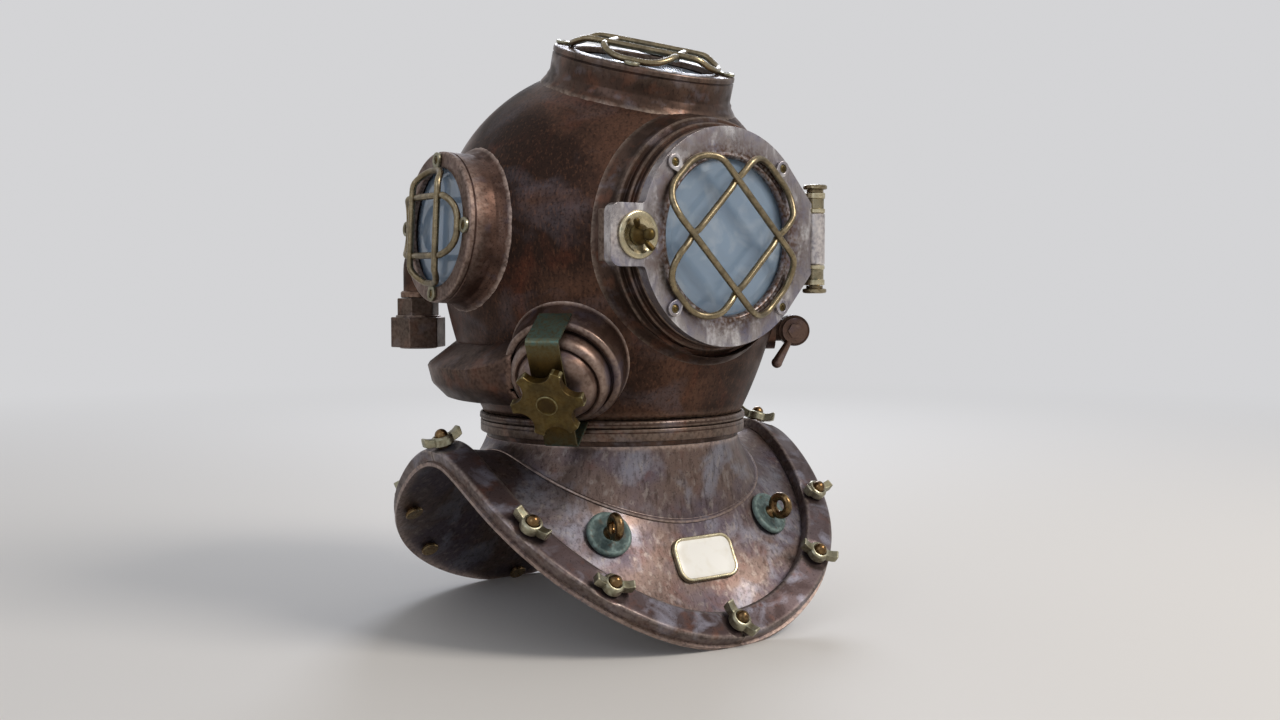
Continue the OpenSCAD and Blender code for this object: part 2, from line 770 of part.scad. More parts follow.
glass_ring_r = door_opening_r + rebate_w + glass_ring_w;
ring_gap = 3;
frame_opening_r = glass_ring_r + ring_gap;
frame_step_r = frame_opening_r + frame_face_w;
frame_base_r = frame_step_r + frame_step_w * 2;
door_r = frame_step_r - seat_gap;
hinge_x = door_r + hinge_out_x;
latch_x = door_r + latch_out_x;
frame_face = door_face - door_t - pass_gap;
frame_low = reach_of(frame_base_r) - 27;
door_back = door_face - door_t;
hinge_out = door_back + door_t * 2 / 3;
seal_in = frame_opening_r + 2.5;
seal_w = 4.6;
seal_slack = 0.2;
seal_depth = 1.8;
step_z = 6;
base_step_z = 13;
latch_hole_depth = 11;
latch_grip = 8;
module door_frame() {
  step_r = frame_step_r + frame_step_w - 0.5;
  color(pale_copper)
    difference() {
      facing(0, 0) {
        rotate_extrude()
          polygon([
            [frame_opening_r, frame_low], [frame_opening_r, frame_face], [frame_step_r, frame_face],
            [frame_step_r, frame_face - step_z], [step_r, frame_face - step_z],
            [step_r, frame_face - base_step_z], [frame_base_r - 1, frame_face - base_step_z],
            [frame_base_r, frame_face - base_step_z - 1], [frame_base_r, frame_low]]);
        for (side = [-1, 1])
          frame_knuckle(side);
        latch_lug();
      }
      facing(0, 0) {
        translate([0, 0, frame_face - seal_depth])
          tube(seal_in + seal_w + seal_slack, seal_in - seal_slack, 10);
        translate([hinge_x, 0, hinge_out])
          rotate([90, 0, 0])
            cylinder(r = hinge_pin_r + run_gap, h = door_r * 2, center = true, $fn = 48);
        translate([-latch_x, 0, frame_face - latch_hole_depth])
          cylinder(r = latch_screw_r + pass_gap, h = latch_hole_depth + 5, $fn = 48);
        cylinder(r = frame_opening_r, h = door_face);
      }
      bonnet_solid(seat_gap);
    }
}

module frame_knuckle(side) {
  base = knuckle_half + pass_gap / 2;
  middle = side * (base + frame_knuckle_h / 2);
  root = frame_opening_r + 4;
  root_h = 24;
  translate([hinge_x, middle, hinge_out])
    rotate([90, 0, 0])
      cylinder(r = knuckle_r, h = frame_knuckle_h, center = true, $fn = 48);
  translate([root, middle - frame_knuckle_h / 2, frame_face - root_h])
    cube([hinge_x + knuckle_r - 1.5 - root, frame_knuckle_h, root_h]);
}

module latch_lug() {
  far = latch_x + latch_tab - 3;
  half = latch_half - 4;
  translate([-far, -half, frame_face - latch_lug_h])
    cube([far - frame_opening_r - 4, half * 2, latch_lug_h]);
}

module door_seal() {
  color(rubber)
    facing(0, 0)
      translate([0, 0, frame_face - seal_depth + 0.1])
        tube(seal_in + seal_w, seal_in, seal_depth - 0.1 + pass_gap - seat_gap);
}

pin_head_r = 10;
pin_head_h = 6.5;
module hinge_pin() {
  top = knuckle_half + pass_gap / 2 + frame_knuckle_h;
  color(bright_brass)
    facing(0, 0)
      translate([hinge_x, 0, hinge_out])
        rotate([90, 0, 0]) {
          cylinder(r = hinge_pin_r, h = top * 2 + 2, center = true, $fn = 48);
          for (side = [0, 180])
            rotate([side, 0, 0])
              translate([0, 0, top + seat_gap])
                cylinder(r = pin_head_r, h = pin_head_h, $fn = 48);
        }
}

module door_outline() {
  reach = norm([hinge_x, knuckle_half]);
  touch = atan2(knuckle_half, hinge_x) + acos(door_r / reach);
  circle(r = door_r);
  polygon([
    [door_r * cos(touch), door_r * sin(touch)], [hinge_x, knuckle_half],
    [hinge_x, -knuckle_half], [door_r * cos(touch), -door_r * sin(touch)]]);
  corner = 8;
  far = latch_x + latch_tab;
  translate([-far + corner, -latch_half])
    square([far - corner - door_opening_r, latch_half * 2]);
  translate([-far, -latch_half + corner])
    square([corner * 2, latch_half * 2 - corner * 2]);
  for (side = [-1, 1])
    translate([-far + corner, side * (latch_half - corner)])
      circle(r = corner, $fn = 48);
}

guard_eye_r = 6.4;
guard_tab_t = 2.4;
guard_link_w = 9;
guard_lap = 0.7;
guard_screw_r = 2.6;
door_guard_len = door_opening_r + 7.8;
door_guard_w = 31.5;
door_eye_out = door_guard_len + 9.5;
module door_plate() {
  rebate_r = door_opening_r + rebate_w;
  bevel = 2.5;
  color(pale_copper)
    facing(0, 0)
      difference() {
        union() {
          translate([0, 0, door_back])
            linear_extrude(height = door_t)
              door_outline();
          translate([hinge_x, 0, hinge_out])
            rotate([90, 0, 0])
              cylinder(r = knuckle_r, h = knuckle_half * 2, center = true, $fn = 48);
        }
        cylinder(r = door_opening_r, h = door_face + 10);
        translate([0, 0, door_back - 1])
          cylinder(r = rebate_r, h = door_t - lip_t + 1);
        translate([0, 0, door_face - bevel])
          cylinder(r1 = door_opening_r, r2 = door_opening_r + bevel * 2, h = bevel * 2);
        translate([hinge_x, 0, hinge_out])
          rotate([90, 0, 0])
            cylinder(r = hinge_pin_r + run_gap, h = door_r * 2, center = true, $fn = 48);
        for (side = [-1, 1])
          translate([hinge_x, side * (knuckle_half + door_r / 2), hinge_out])
            rotate([90, 0, 0])
              cylinder(r = pin_head_r + pass_gap, h = door_r, center = true, $fn = 48);
        translate([-latch_x, 0, door_back - 1])
          cylinder(r = latch_screw_r + pass_gap, h = door_t + 2, $fn = 48);
        screw_holes(door_eye_out, 45, door_face);
      }
}

// Round window glass with its edge bevelled towards the front
module glass(r, front) {
  bevel_h = 2.5;
  bevel_w = 11;
  translate([0, 0, front - glass_t])
    cylinder(r = r, h = glass_t - bevel_h);
  translate([0, 0, front - bevel_h])
    cylinder(r1 = r, r2 = r - bevel_w, h = bevel_h);
}

module door_glass() {
  color(glass_blue)
    facing(0, 0)
      glass(door_opening_r + rebate_w - seat_gap, door_face - lip_t - seat_gap);
}

module door_glass_ring() {
  glass_r = door_opening_r + rebate_w;
  glass_back = door_face - lip_t - seat_gap - glass_t;
  ring_in = door_opening_r - 3;
  ring_back = glass_back - 2.4;
  color(brass)
    facing(0, 0)
      rotate_extrude()
        polygon([
          [ring_in, ring_back], [glass_ring_r, ring_back], [glass_ring_r, door_back - seat_gap],
          [glass_r, door_back - seat_gap], [glass_r, glass_back - seat_gap],
          [ring_in, glass_back - seat_gap]]);
}

// One loop of guard wire that lies along y, with its ends bent down to the window's face
module guard_loop(half_len, half_w, corner, drop) {
  low = wire_r + seat_gap;
  high = guard_rise - wire_r - drop;
  bend_angle = asin((high - low) / corner);
  straight = half_len - corner * cos(bend_angle);
  for (side = [-1, 1])
    translate([side * half_w, 0, high]) {
      rotate([90, 0, 0])
        cylinder(r = wire_r, h = straight * 2, center = true, $fn = 24);
      for (end = [-1, 1])
        translate([0, end * straight, 0])
          sphere(r = wire_r + 0.12, $fn = 24);
    }
  for (end = [0, 180])
    rotate([0, 0, end])
      translate([0, straight, high])
        rotate([-bend_angle, 0, 0]) {
          for (side = [0, 1])
            mirror([side, 0, 0])
              translate([half_w - corner, 0, 0])
                rotate_extrude(angle = 90)
                  translate([corner, 0])
                    circle(r = wire_r, $fn = 24);
          translate([0, corner, 0])
            rotate([0, 90, 0])
              cylinder(r = wire_r, h = (half_w - corner) * 2, center = true, $fn = 24);
        }
}

// Two crossed loops with an eyelet at each of their four ends
module guard(half_len, half_w, corner, eye_out, turn) {
  difference() {
    for (cross = [0, 90])
      rotate([0, 0, turn + cross]) {
        guard_loop(half_len, half_w, corner, cross / 90 * guard_lap);
        for (end = [0, 180])
          rotate([0, 0, end]) {
            translate([0, eye_out, seat_gap / 2])
              cylinder(r = guard_eye_r, h = guard_tab_t, $fn = 48);
            translate([-guard_link_w / 2, half_len - 1, seat_gap / 2])
              cube([guard_link_w, eye_out - half_len + 1, guard_tab_t]);
          }
      }
    guard_screw_places(eye_out, turn)
      cylinder(r = guard_screw_r + 0.5, h = 20, center = true, $fn = 32);
  }
}

module guard_screw_places(eye_out, turn) {
  for (step = [0:3])
    rotate([0, 0, turn + step * 90])
      translate([0, eye_out, 0])
        children();
}

screw_len = 6;
module guard_screw() {
  translate([0, 0, -screw_len + 0.5])
    cylinder(r = guard_screw_r, h = screw_len + guard_tab_t, $fn = 32);
  translate([0, 0, guard_tab_t + seat_gap])
    difference() {
      cylinder(r1 = guard_screw_r * 1.65, r2 = guard_screw_r * 1.3, h = 2, $fn = 32);
      translate([-guard_screw_r * 2, -0.5, 1.1])
        cube([guard_screw_r * 4, 1, 2]);
    }
}

module door_guard() {
  color(brass)
    facing(0, 0)
      translate([0, 0, door_face])
        guard(door_guard_len, door_guard_w, guard_corner, door_eye_out, 45);
}

module door_guard_screws() {
  color(bright_brass)
    facing(0, 0)
      translate([0, 0, door_face])
        guard_screw_places(door_eye_out, 45)
          guard_screw();
}

washer_t = 1.2;
module latch_washer() {
  color(bright_brass)
    facing(0, 0)
      translate([-latch_x, 0, door_face + seat_gap])
        rotate_extrude()
          polygon([
            [latch_screw_r + pass_gap, 0], [latch_washer_r, 0], [latch_washer_r, 1.8],
            [latch_washer_r - 1.2, 2.8], [latch_washer_r - 4, 2.8], [latch_washer_r - 6.5, washer_t],
            [latch_screw_r + pass_gap, washer_t]]);
}

module latch_screw() {
  base = seat_gap * 2 + washer_t;
  color(bright_brass)
    facing(0, 0)
      translate([-latch_x, 0, door_face]) {
        translate([0, 0, -door_t - pass_gap - latch_grip])
          cylinder(r = latch_screw_r, h = door_t + pass_gap + latch_grip + base + 1, $fn = 48);
        translate([0, 0, base])
          cylinder(r1 = 8.5, r2 = 5, h = 7, $fn = 48);
        translate([0, 0, base + 7])
          cylinder(r = 3.6, h = 4, $fn = 32);
        translate([0, 0, base + 12])
          sphere(r = 5, $fn = 48);
        for (side = [0, 180])
          rotate([0, 0, 125 + side])
            translate([3, -1.7, base + 2.5])
              cube([11.5, 3.4, 6.5]);
      }
}

// Fixed windows

module window_frame(r, opening, face, base_out) {
  rebate_r = opening + rebate_w;
  ledge_r = opening - 3;
  ledge = face - lip_t - glass_t - 2 * seat_gap;
  root = base_out - r;
  rotate_extrude()
    polygon([
      [opening, face], [r - 1, face], [r, face - 1], [r, base_out + 6], [r + 2, base_out + 4],
      [r + 2.5, base_out], [r + 7, base_out - 6], [r + 7, root], [ledge_r, root],
      [ledge_r, ledge], [rebate_r, ledge], [rebate_r, face - lip_t], [opening, face - lip_t]]);
}
side_guard_len = side_opening_r - 2.7;
side_guard_w = 24;
side_eye_out = side_guard_len + 8.6;
top_guard_len = top_opening_r + 2.5;
top_guard_w = 30;
top_eye_out = top_guard_len + 9;

module screw_holes(eye_out, turn, face) {
  translate([0, 0, face - screw_len])
    guard_screw_places(eye_out, turn)
      cylinder(r = guard_screw_r + run_gap, h = screw_len + 1, $fn = 32);
}

module side_window_frame(side) {
  difference() {
    facing(side * side_az, side_tilt)
      window_frame(side_r, side_opening_r, side_face, reach_of(side_r) + 1);
    facing(side * side_az, side_tilt)
      screw_holes(side_eye_out, 0, side_face);
    bonnet_solid(seat_gap);
  }
}
module right_window_frame() {
  color(copper) side_window_frame(-1);
}
module left_window_frame() {
  color(copper) side_window_frame(1);
}
module top_window_frame() {
  color(copper)
    difference() {
      facing(0, 90 - top_lean)
        window_frame(top_r, top_opening_r, top_face, reach_of(top_r) + 1);
      facing(0, 90 - top_lean)
        screw_holes(top_eye_out, 45, top_face);
      bonnet_solid(seat_gap);
    }
}

module side_glass(side) {
  color(glass_blue)
    facing(side * side_az, side_tilt)
      glass(side_opening_r + rebate_w - seat_gap, side_face - lip_t - seat_gap);
}
module right_window_glass() {
  side_glass(-1);
}
module left_window_glass() {
  side_glass(1);
}
module top_window_glass() {
  color(glass_blue)
    facing(0, 90 - top_lean)
      glass(top_opening_r + rebate_w - seat_gap, top_face - lip_t - seat_gap);
}

module side_guard(side) {
  color(brass)
    facing(side * side_az, side_tilt)
      translate([0, 0, side_face])
        guard(side_guard_len, side_guard_w, side_guard_corner, side_eye_out, 0);
}
module right_window_guard() {
  side_guard(-1);
}
module left_window_guard() {
  side_guard(1);
}
module top_window_guard() {
  color(brass)
    facing(0, 90 - top_lean)
      translate([0, 0, top_face])
        guard(top_guard_len, top_guard_w, guard_corner, top_eye_out, 45);
}

module window_guard_screws() {
  color(bright_brass) {
    for (side = [-1, 1])
      facing(side * side_az, side_tilt)
        translate([0, 0, side_face])
          guard_screw_places(side_eye_out, 0)
            guard_screw();
    facing(0, 90 - top_lean)
      translate([0, 0, top_face])
        guard_screw_places(top_eye_out, 45)
          guard_screw();
  }
}

// Exhaust valve

spindle_r = 5;
chamber_r = 36;
seat_r = 17;
valve_root = 32;
dome_top = 34.5;
roof_z = 30.5;
crown_z = wheel_face - wheel_t - 7;
bridge_t = 2.4;
port_w = 28;
module exhaust_valve_body() {
  color(copper)
    difference() {
      place_valve()
        difference() {
          rotate_extrude()
            polygon([
              [seat_r + 7, -valve_root], [valve_r, -valve_root], [valve_r, 7],
              [valve_r - 1.6, 9], [valve_r - 6.6, 9],
              [valve_r - 7.6, 11], [valve_r - 7.6, 19], [valve_r - 9.6, 22], [valve_r - 13.6, 23.5],
              [valve_r - 14.6, 25.5], [valve_r - 19.6, 31], [valve_r - 27.6, dome_top - 0.8],
              [spindle_r + 4, dome_top], [spindle_r + run_gap, dome_top], [spindle_r + run_gap, roof_z],
              [seat_r + 5, roof_z], [chamber_r, 20], [chamber_r, 0], [seat_r, 0], [seat_r, -3],
              [seat_r + 7, -3]]);
          translate([-valve_r - 5, -port_w / 2, 1])
            cube([valve_r - chamber_r + 10, port_w, 5.5]);
        }
      bonnet_solid(seat_gap);
    }
}

module exhaust_bridge() {
  inside = valve_r + seat_gap;
  outside = inside + bridge_t;
  bend_in = 4;
  color(brass)
    place_valve()
      difference() {
        rotate([90, 0, 90])
          translate([0, 0, -bridge_w / 2])
            linear_extrude(height = bridge_w)
              polygon([
                [inside, -2], [outside, -2], [outside, crown_z - bend_in],
                [outside - bend_in, crown_z + bridge_t], [-outside + bend_in, crown_z + bridge_t],
                [-outside, crown_z - bend_in], [-outside, 4], [-inside, 4],
                [-inside, crown_z - bend_in - 1], [-inside + bend_in - 1, crown_z],
                [inside - bend_in + 1, crown_z], [inside, crown_z - bend_in - 1]]);
        translate([0, 0, crown_z - 5])
          cylinder(r = spindle_r + 1.5, h = 15, $fn = 48);
      }
}

boss_r = 8.2;
module exhaust_handwheel() {
  notch_r = 11.5;
  color(green_brass)
    place_valve() {
      translate([0, 0, wheel_face - wheel_t])
        difference() {
          cylinder(r = wheel_r, h = wheel_t);
          for (i = [0:wheel_horns - 1])
            rotate([0, 0, 360 / wheel_horns * (i + 0.5) + 8])
              translate([wheel_r + 2, 0, -1])
                cylinder(r = notch_r, h = wheel_t + 2, $fn = 48);
        }
      translate([0, 0, wheel_face])
        cylinder(r = boss_r, h = 1, $fn = 48);
      translate([0, 0, crown_z + bridge_t + seat_gap])
        cylinder(r = boss_r + 1, h = wheel_face - wheel_t - crown_z - bridge_t, $fn = 48);
      translate([0, 0, roof_z + 0.5])
        cylinder(r = spindle_r, h = wheel_face - wheel_t - roof_z, $fn = 48);
    }
}

disc_t = 3;
stem_r = 3;
chin_out = 45;
module exhaust_disc() {
  color(brass)
    place_valve() {
      translate([0, 0, seat_gap])
        cylinder(r = seat_r + 4, h = disc_t);
      translate([0, 0, -chin_out])
        cylinder(r = stem_r, h = chin_out + 1, $fn = 32);
      translate([0, 0, -chin_out - 4])
        cylinder(r1 = 12, r2 = 14, h = 4);
    }
}

spring_r = 13;
spring_wire_r = 1.1;
spring_turns = 5;
module exhaust_spring() {
  low = disc_t + seat_gap * 2 + spring_wire_r;
  high = roof_z - disc_travel - pass_gap - spring_wire_r;
  steps = spring_turns * 16;
  color(bright_brass)
    place_valve()
      loft([for (i = [0:steps])
        let (a = 360 * spring_turns * i / steps, z = low + (high - low) * i / steps)
        [for (j = [0:5]) let (b = -60 * j, r = spring_r + spring_wire_r * cos(b))
          [r * cos(a), r * sin(a), z + spring_wire_r * sin(b)]]], false);
}

// Duct that carries the spent air back along the bonnet: taller at the valve than at its open end
duct_start_az = valve_az + 4;
function duct_rise(az) = 17 * pow(max(0, 1 - (az - duct_start_az) / 34), 2);
function duct_section(az) = let (
    up = duct_rise(az),
    high = duct_z_high + up,
    shoulder = duct_z_high - 20 + up * 1.5,
    w = duct_wall)
  [
    [bonnet_at(duct_z_low, seat_gap), duct_z_low],
    [duct_r - 17, duct_z_low],
    [duct_r - 4, duct_z_low + 13],
    [duct_r, shoulder],
    [bonnet_at(high, seat_gap), high],
    [bonnet_at(high - w * 2, seat_gap), high - w * 2],
    [duct_r - w, shoulder - w],
    [duct_r - 4 - w, duct_z_low + 13 + w / 2],
    [duct_r - 17 - w / 2, duct_z_low + w],
    [bonnet_at(duct_z_low + w, seat_gap), duct_z_low + w]
  ];
module exhaust_duct() {
  steps = 26;
  color(dark_copper)
    difference() {
      loft([for (i = [0:steps]) let (az = duct_start_az + (duct_end_az - duct_start_az) * i / steps)
        [for (p = duct_section(az)) at(-az, p.x, p.y)]], false);
      place_valve()
        translate([0, 0, -valve_hole_depth])
          cylinder(r = valve_r + seat_gap, h = duct_r);
    }
}

// Air inlet and telephone connection

pipe_top_z = bonnet_z + pipe_rise;
elbow_z = pipe_top_z - elbow_bend;
inlet_disc_r = 9.8;
inlet_hex_top = inlet_z_low + inlet_hex_h;
inlet_neck_h = 17;
inlet_top = inlet_hex_top + inlet_neck_h;
flange_r = elbow_r + 6;
module pipe_elbow() {
  bore = inlet_hole_r;
  difference() {
    union() {
      translate([0, -inlet_out, inlet_top + seat_gap])
        cylinder(r = elbow_r, h = elbow_z - inlet_top - seat_gap);
      translate([0, -inlet_out, inlet_top + seat_gap])
        cylinder(r = elbow_r + 2.5, h = 6);
      translate([0, -inlet_out + elbow_bend, elbow_z])
        rotate([0, -90, 180])
          rotate_extrude(angle = 90)
            translate([elbow_bend, 0])
              circle(r = elbow_r, $fn = 48);
      translate([0, -inlet_out + elbow_bend + 0.01, pipe_top_z])
        rotate([-90, 0, 0])
          cylinder(r = elbow_r, h = 20);
      translate([0, -bonnet_r - 2.5, pipe_top_z])
        rotate([-90, 0, 0])
          cylinder(r = flange_r, h = 20);
    }
    translate([0, -inlet_out, inlet_top - 1])
      cylinder(r = bore, h = elbow_z - inlet_top + 1);
    translate([0, -inlet_out + elbow_bend, elbow_z])
      rotate([0, -90, 180])
        rotate_extrude(angle = 90)
          translate([elbow_bend, 0])
            circle(r = bore, $fn = 48);
    translate([0, -inlet_out + elbow_bend, pipe_top_z])
      rotate([-90, 0, 0])
        cylinder(r = bore, h = 40);
  }
}

module air_inlet_elbow() {
  color(copper)
    difference() {
      place_pipe(1)
        pipe_elbow();
      bonnet_solid(seat_gap);
    }
}
module telephone_elbow() {
  color(copper)
    difference() {
      place_pipe(-1)
        pipe_elbow();
      bonnet_solid(seat_gap);
    }
}

valve_seat_t = 3;
chamber_h = inlet_hex_h - hose_socket_depth - valve_seat_t;
module air_inlet_body() {
  color(pale_copper)
    place_pipe(1)
      translate([0, -inlet_out, inlet_z_low])
        difference() {
          union() {
            cylinder(r = inlet_hex_r, h = inlet_hex_h, $fn = 6);
            translate([0, 0, inlet_hex_h - 0.01])
              cylinder(r = inlet_hex_r - 6, h = inlet_neck_h + 0.01, $fn = 6);
          }
          translate([0, 0, -1])
            cylinder(r = hose_socket_r, h = hose_socket_depth + 1);
          cylinder(r = inlet_disc_r - 2.8, h = inlet_hex_h);
          translate([0, 0, hose_socket_depth + valve_seat_t])
            cylinder(r = inlet_disc_r + 1.2, h = chamber_h);
          translate([0, 0, inlet_hex_h - 1])
            cylinder(r = inlet_disc_r - 0.8, h = inlet_neck_h + 2);
        }
}

module inlet_disc() {
  color(brass)
    place_pipe(1)
      translate([0, -inlet_out, inlet_z_low + hose_socket_depth + valve_seat_t + seat_gap]) {
        cylinder(r = inlet_disc_r, h = 2);
        translate([0, 0, -valve_seat_t])
          cylinder(r = 2.5, h = valve_seat_t + 1, $fn = 32);
      }
}

cap_h = 24;
module telephone_cap() {
  color(brass)
    place_pipe(-1)
      translate([0, -inlet_out, inlet_top - cap_h])
        difference() {
          union() {
            cylinder(r = gland_r, h = cap_h - 8);
            translate([0, 0, cap_h - 12])
              cylinder(r = gland_r + 4, h = 12, $fn = 6);
          }
          translate([0, 0, -1])
            cylinder(r = cable_socket_r, h = 14);
          cylinder(r = 3.5, h = cap_h + 1, $fn = 32);
        }
}

// Spitcock

spit_plug_r = 7.5;
spit_bore_r = 3.5;
spit_half = 12;
module spitcock_body() {
  color(dark_copper)
    difference() {
      place_spit() {
        translate([0, 0, bonnet_at(spit_z) - 20])
          cylinder(r = spit_r + 3, h = 23.5);
        translate([0, 0, bonnet_at(spit_z) - 20])
          cylinder(r = spit_r - 4, h = spit_out - bonnet_at(spit_z) + 20);
        translate([0, 0, spit_out])
          rotate([0, 90, 0])
            cylinder(r = spit_r, h = spit_half * 2, center = true);
      }
      place_spit() {
        translate([0, 0, spit_out])
          rotate([0, 90, 0])
            cylinder(r = spit_plug_r + run_gap, h = spit_half * 2 + 2, center = true, $fn = 48);
        cylinder(r = spit_bore_r, h = spit_out + spit_r + 5, $fn = 32);
      }
      bonnet_solid(seat_gap);
    }
}

lever_angle = 29;
module spitcock_plug() {
  hub_t = 6;
  head = spit_half + pass_gap;
  color(dark_copper)
    place_spit()
      translate([0, 0, spit_out])
        rotate([0, -90, 0])
          difference() {
            union() {
              translate([0, 0, -spit_half - 2])
                cylinder(r = spit_plug_r, h = spit_half * 2 + 2 + pass_gap + 1, $fn = 48);
              translate([0, 0, -head - 3])
                cylinder(r = spit_plug_r + 3, h = 3, $fn = 6);
              translate([0, 0, head])
                cylinder(r = spit_plug_r + 3.5, h = hub_t, $fn = 48);
              translate([0, 0, head + hub_t - 1])
                cylinder(r = 6.6, h = 6, $fn = 6);
              translate([0, 0, head + hub_t / 2])
                rotate([0, 0, -lever_angle])
                  rotate([90, 0, 0]) {
                    translate([0, 0, spit_plug_r])
                      cylinder(r1 = 2.6, r2 = 4.6, h = lever_len - spit_plug_r - 4, $fn = 32);
                    translate([0, 0, lever_len - 4])
                      sphere(r = 4.8, $fn = 32);
                  }
            }
            rotate([90, 0, 0])
              cylinder(r = spit_bore_r - 0.5, h = spit_r * 4, center = true, $fn = 32);
          }
}

breastplate();
breastplate_neck();
breastplate_ring();
rim_studs();
brail_front_left();
brail_front_right();
brail_rear_left();
brail_rear_right();
lashing_eye_bases();
lashing_eyes();
nameplate();
neck_gasket();
bonnet_shell();
bonnet_ring();
door_frame();
door_seal();
hinge_pin();
right_window_frame();
left_window_frame();
top_window_frame();
right_window_glass();
left_window_glass();
top_window_glass();
right_window_guard();
left_window_guard();
top_window_guard();
window_guard_screws();
exhaust_duct();
exhaust_valve_body();
exhaust_bridge();
air_inlet_elbow();
air_inlet_body();
telephone_elbow();
telephone_cap();
spitcock_body();
door_plate();
door_glass();
door_glass_ring();
door_guard();
door_guard_screws();
latch_washer();
latch_screw();
exhaust_handwheel();
exhaust_disc();
exhaust_spring();
spitcock_plug();
inlet_disc();
safety_catch();
wing_nut(0);  // wing_nut_01
wing_nut(1);  // wing_nut_02
wing_nut(2);  // wing_nut_03
wing_nut(3);  // wing_nut_04
wing_nut(4);  // wing_nut_05
wing_nut(5);  // wing_nut_06
wing_nut(6);  // wing_nut_07
wing_nut(7);  // wing_nut_08
wing_nut(8);  // wing_nut_09
wing_nut(9);  // wing_nut_10
wing_nut(10);  // wing_nut_11
wing_nut(11);  // wing_nut_12
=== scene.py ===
"""Copper diving helmet and its bolted breastplate, modelled and finished for rendering.

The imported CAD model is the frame. Each sub-assembly below is a class that holds its sizes in
millimetres, models its pieces in the CAD model's own coordinates and puts them on its bodies.
"""

import json
import logging
from dataclasses import dataclass, field
from enum import Enum
from math import acos, asin, atan2, copysign, cos, degrees, exp, hypot, pi, radians, sin, sqrt
from typing import Callable, Optional, Sequence, Union

import bmesh
import bpy
from mathutils import Matrix, Vector, noise

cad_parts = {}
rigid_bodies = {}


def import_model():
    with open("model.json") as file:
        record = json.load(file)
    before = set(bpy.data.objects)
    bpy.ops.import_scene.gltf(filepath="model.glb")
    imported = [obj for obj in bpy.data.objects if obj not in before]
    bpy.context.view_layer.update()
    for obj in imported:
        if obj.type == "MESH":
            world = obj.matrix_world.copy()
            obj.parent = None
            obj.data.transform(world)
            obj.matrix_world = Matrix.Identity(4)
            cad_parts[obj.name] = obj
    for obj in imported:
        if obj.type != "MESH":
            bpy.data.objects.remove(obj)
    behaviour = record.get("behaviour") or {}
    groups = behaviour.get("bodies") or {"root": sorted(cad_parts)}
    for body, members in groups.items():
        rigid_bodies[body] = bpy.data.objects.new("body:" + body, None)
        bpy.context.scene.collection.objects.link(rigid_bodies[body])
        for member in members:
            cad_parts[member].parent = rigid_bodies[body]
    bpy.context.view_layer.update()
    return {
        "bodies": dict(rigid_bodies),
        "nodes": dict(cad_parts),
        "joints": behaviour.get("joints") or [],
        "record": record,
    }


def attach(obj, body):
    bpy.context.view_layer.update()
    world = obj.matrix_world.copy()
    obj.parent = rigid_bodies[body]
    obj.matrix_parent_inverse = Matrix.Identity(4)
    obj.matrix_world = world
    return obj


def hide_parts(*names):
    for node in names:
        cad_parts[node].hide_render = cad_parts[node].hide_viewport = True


MM = 0.001
FULL_TURN = 2 * pi
LOG = logging.getLogger("diving_helmet")

# Sockets of a colour Mix node, which carry the same names as those of its other kinds
MIX_FACTOR, MIX_A, MIX_B, MIX_OUT = 0, 6, 7, 2

Point = Sequence[float]
Profile = list[tuple[float, float]]
Tree = bpy.types.NodeTree
Node = bpy.types.Node
Socket = bpy.types.NodeSocket
Options = Optional[dict]


def linear(code: str) -> tuple[float, float, float, float]:
    """Turns an sRGB hex colour to linear values.

    Args:
        code: the colour as #RRGGBB.

    Returns:
        Red, green, blue and an alpha of 1.
    """
    shares = [int(code[i : i + 2], 16) / 255 for i in (1, 3, 5)]
    red, green, blue = (s / 12.92 if s <= 0.04045 else ((s + 0.055) / 1.055) ** 2.4 for s in shares)
    return red, green, blue, 1.0


def add_node(tree: Tree, kind: str, inputs: Options = None, **settings: object) -> Node:
    """Adds a shader node with its settings and links.

    Args:
        tree: the node tree to add to.
        kind: the node's type, without the ShaderNode that they all begin with.
        inputs: by an input's name or number, its constant, the socket that feeds it, or the
            node whose first output feeds it.
        settings: properties of the node itself.

    Returns:
        The new node.
    """
    node = tree.nodes.new(f"ShaderNode{kind}")
    for key, value in settings.items():
        setattr(node, key, value)
    for key, value in (inputs or {}).items():
        source = value.outputs[0] if isinstance(value, Node) else value
        if isinstance(source, Socket):
            tree.links.new(source, node.inputs[key])
        else:
            node.inputs[key].default_value = source
    return node


class Body(Enum):
    """The CAD bodies that pieces ride on."""

    BREASTPLATE = "breastplate"
    BONNET = "bonnet"
    DOOR = "front_door"
    LATCH = "latch_screw"
    WHEEL = "exhaust_handwheel"
    DISC = "exhaust_disc"
    SPITCOCK = "spitcock_plug"
    INLET_DISC = "inlet_disc"
    CATCH = "safety_catch"


class Side(Enum):
    """The wearer's side that a paired piece is on: the sign of its x."""

    RIGHT = -1
    LEFT = 1


# Finishes


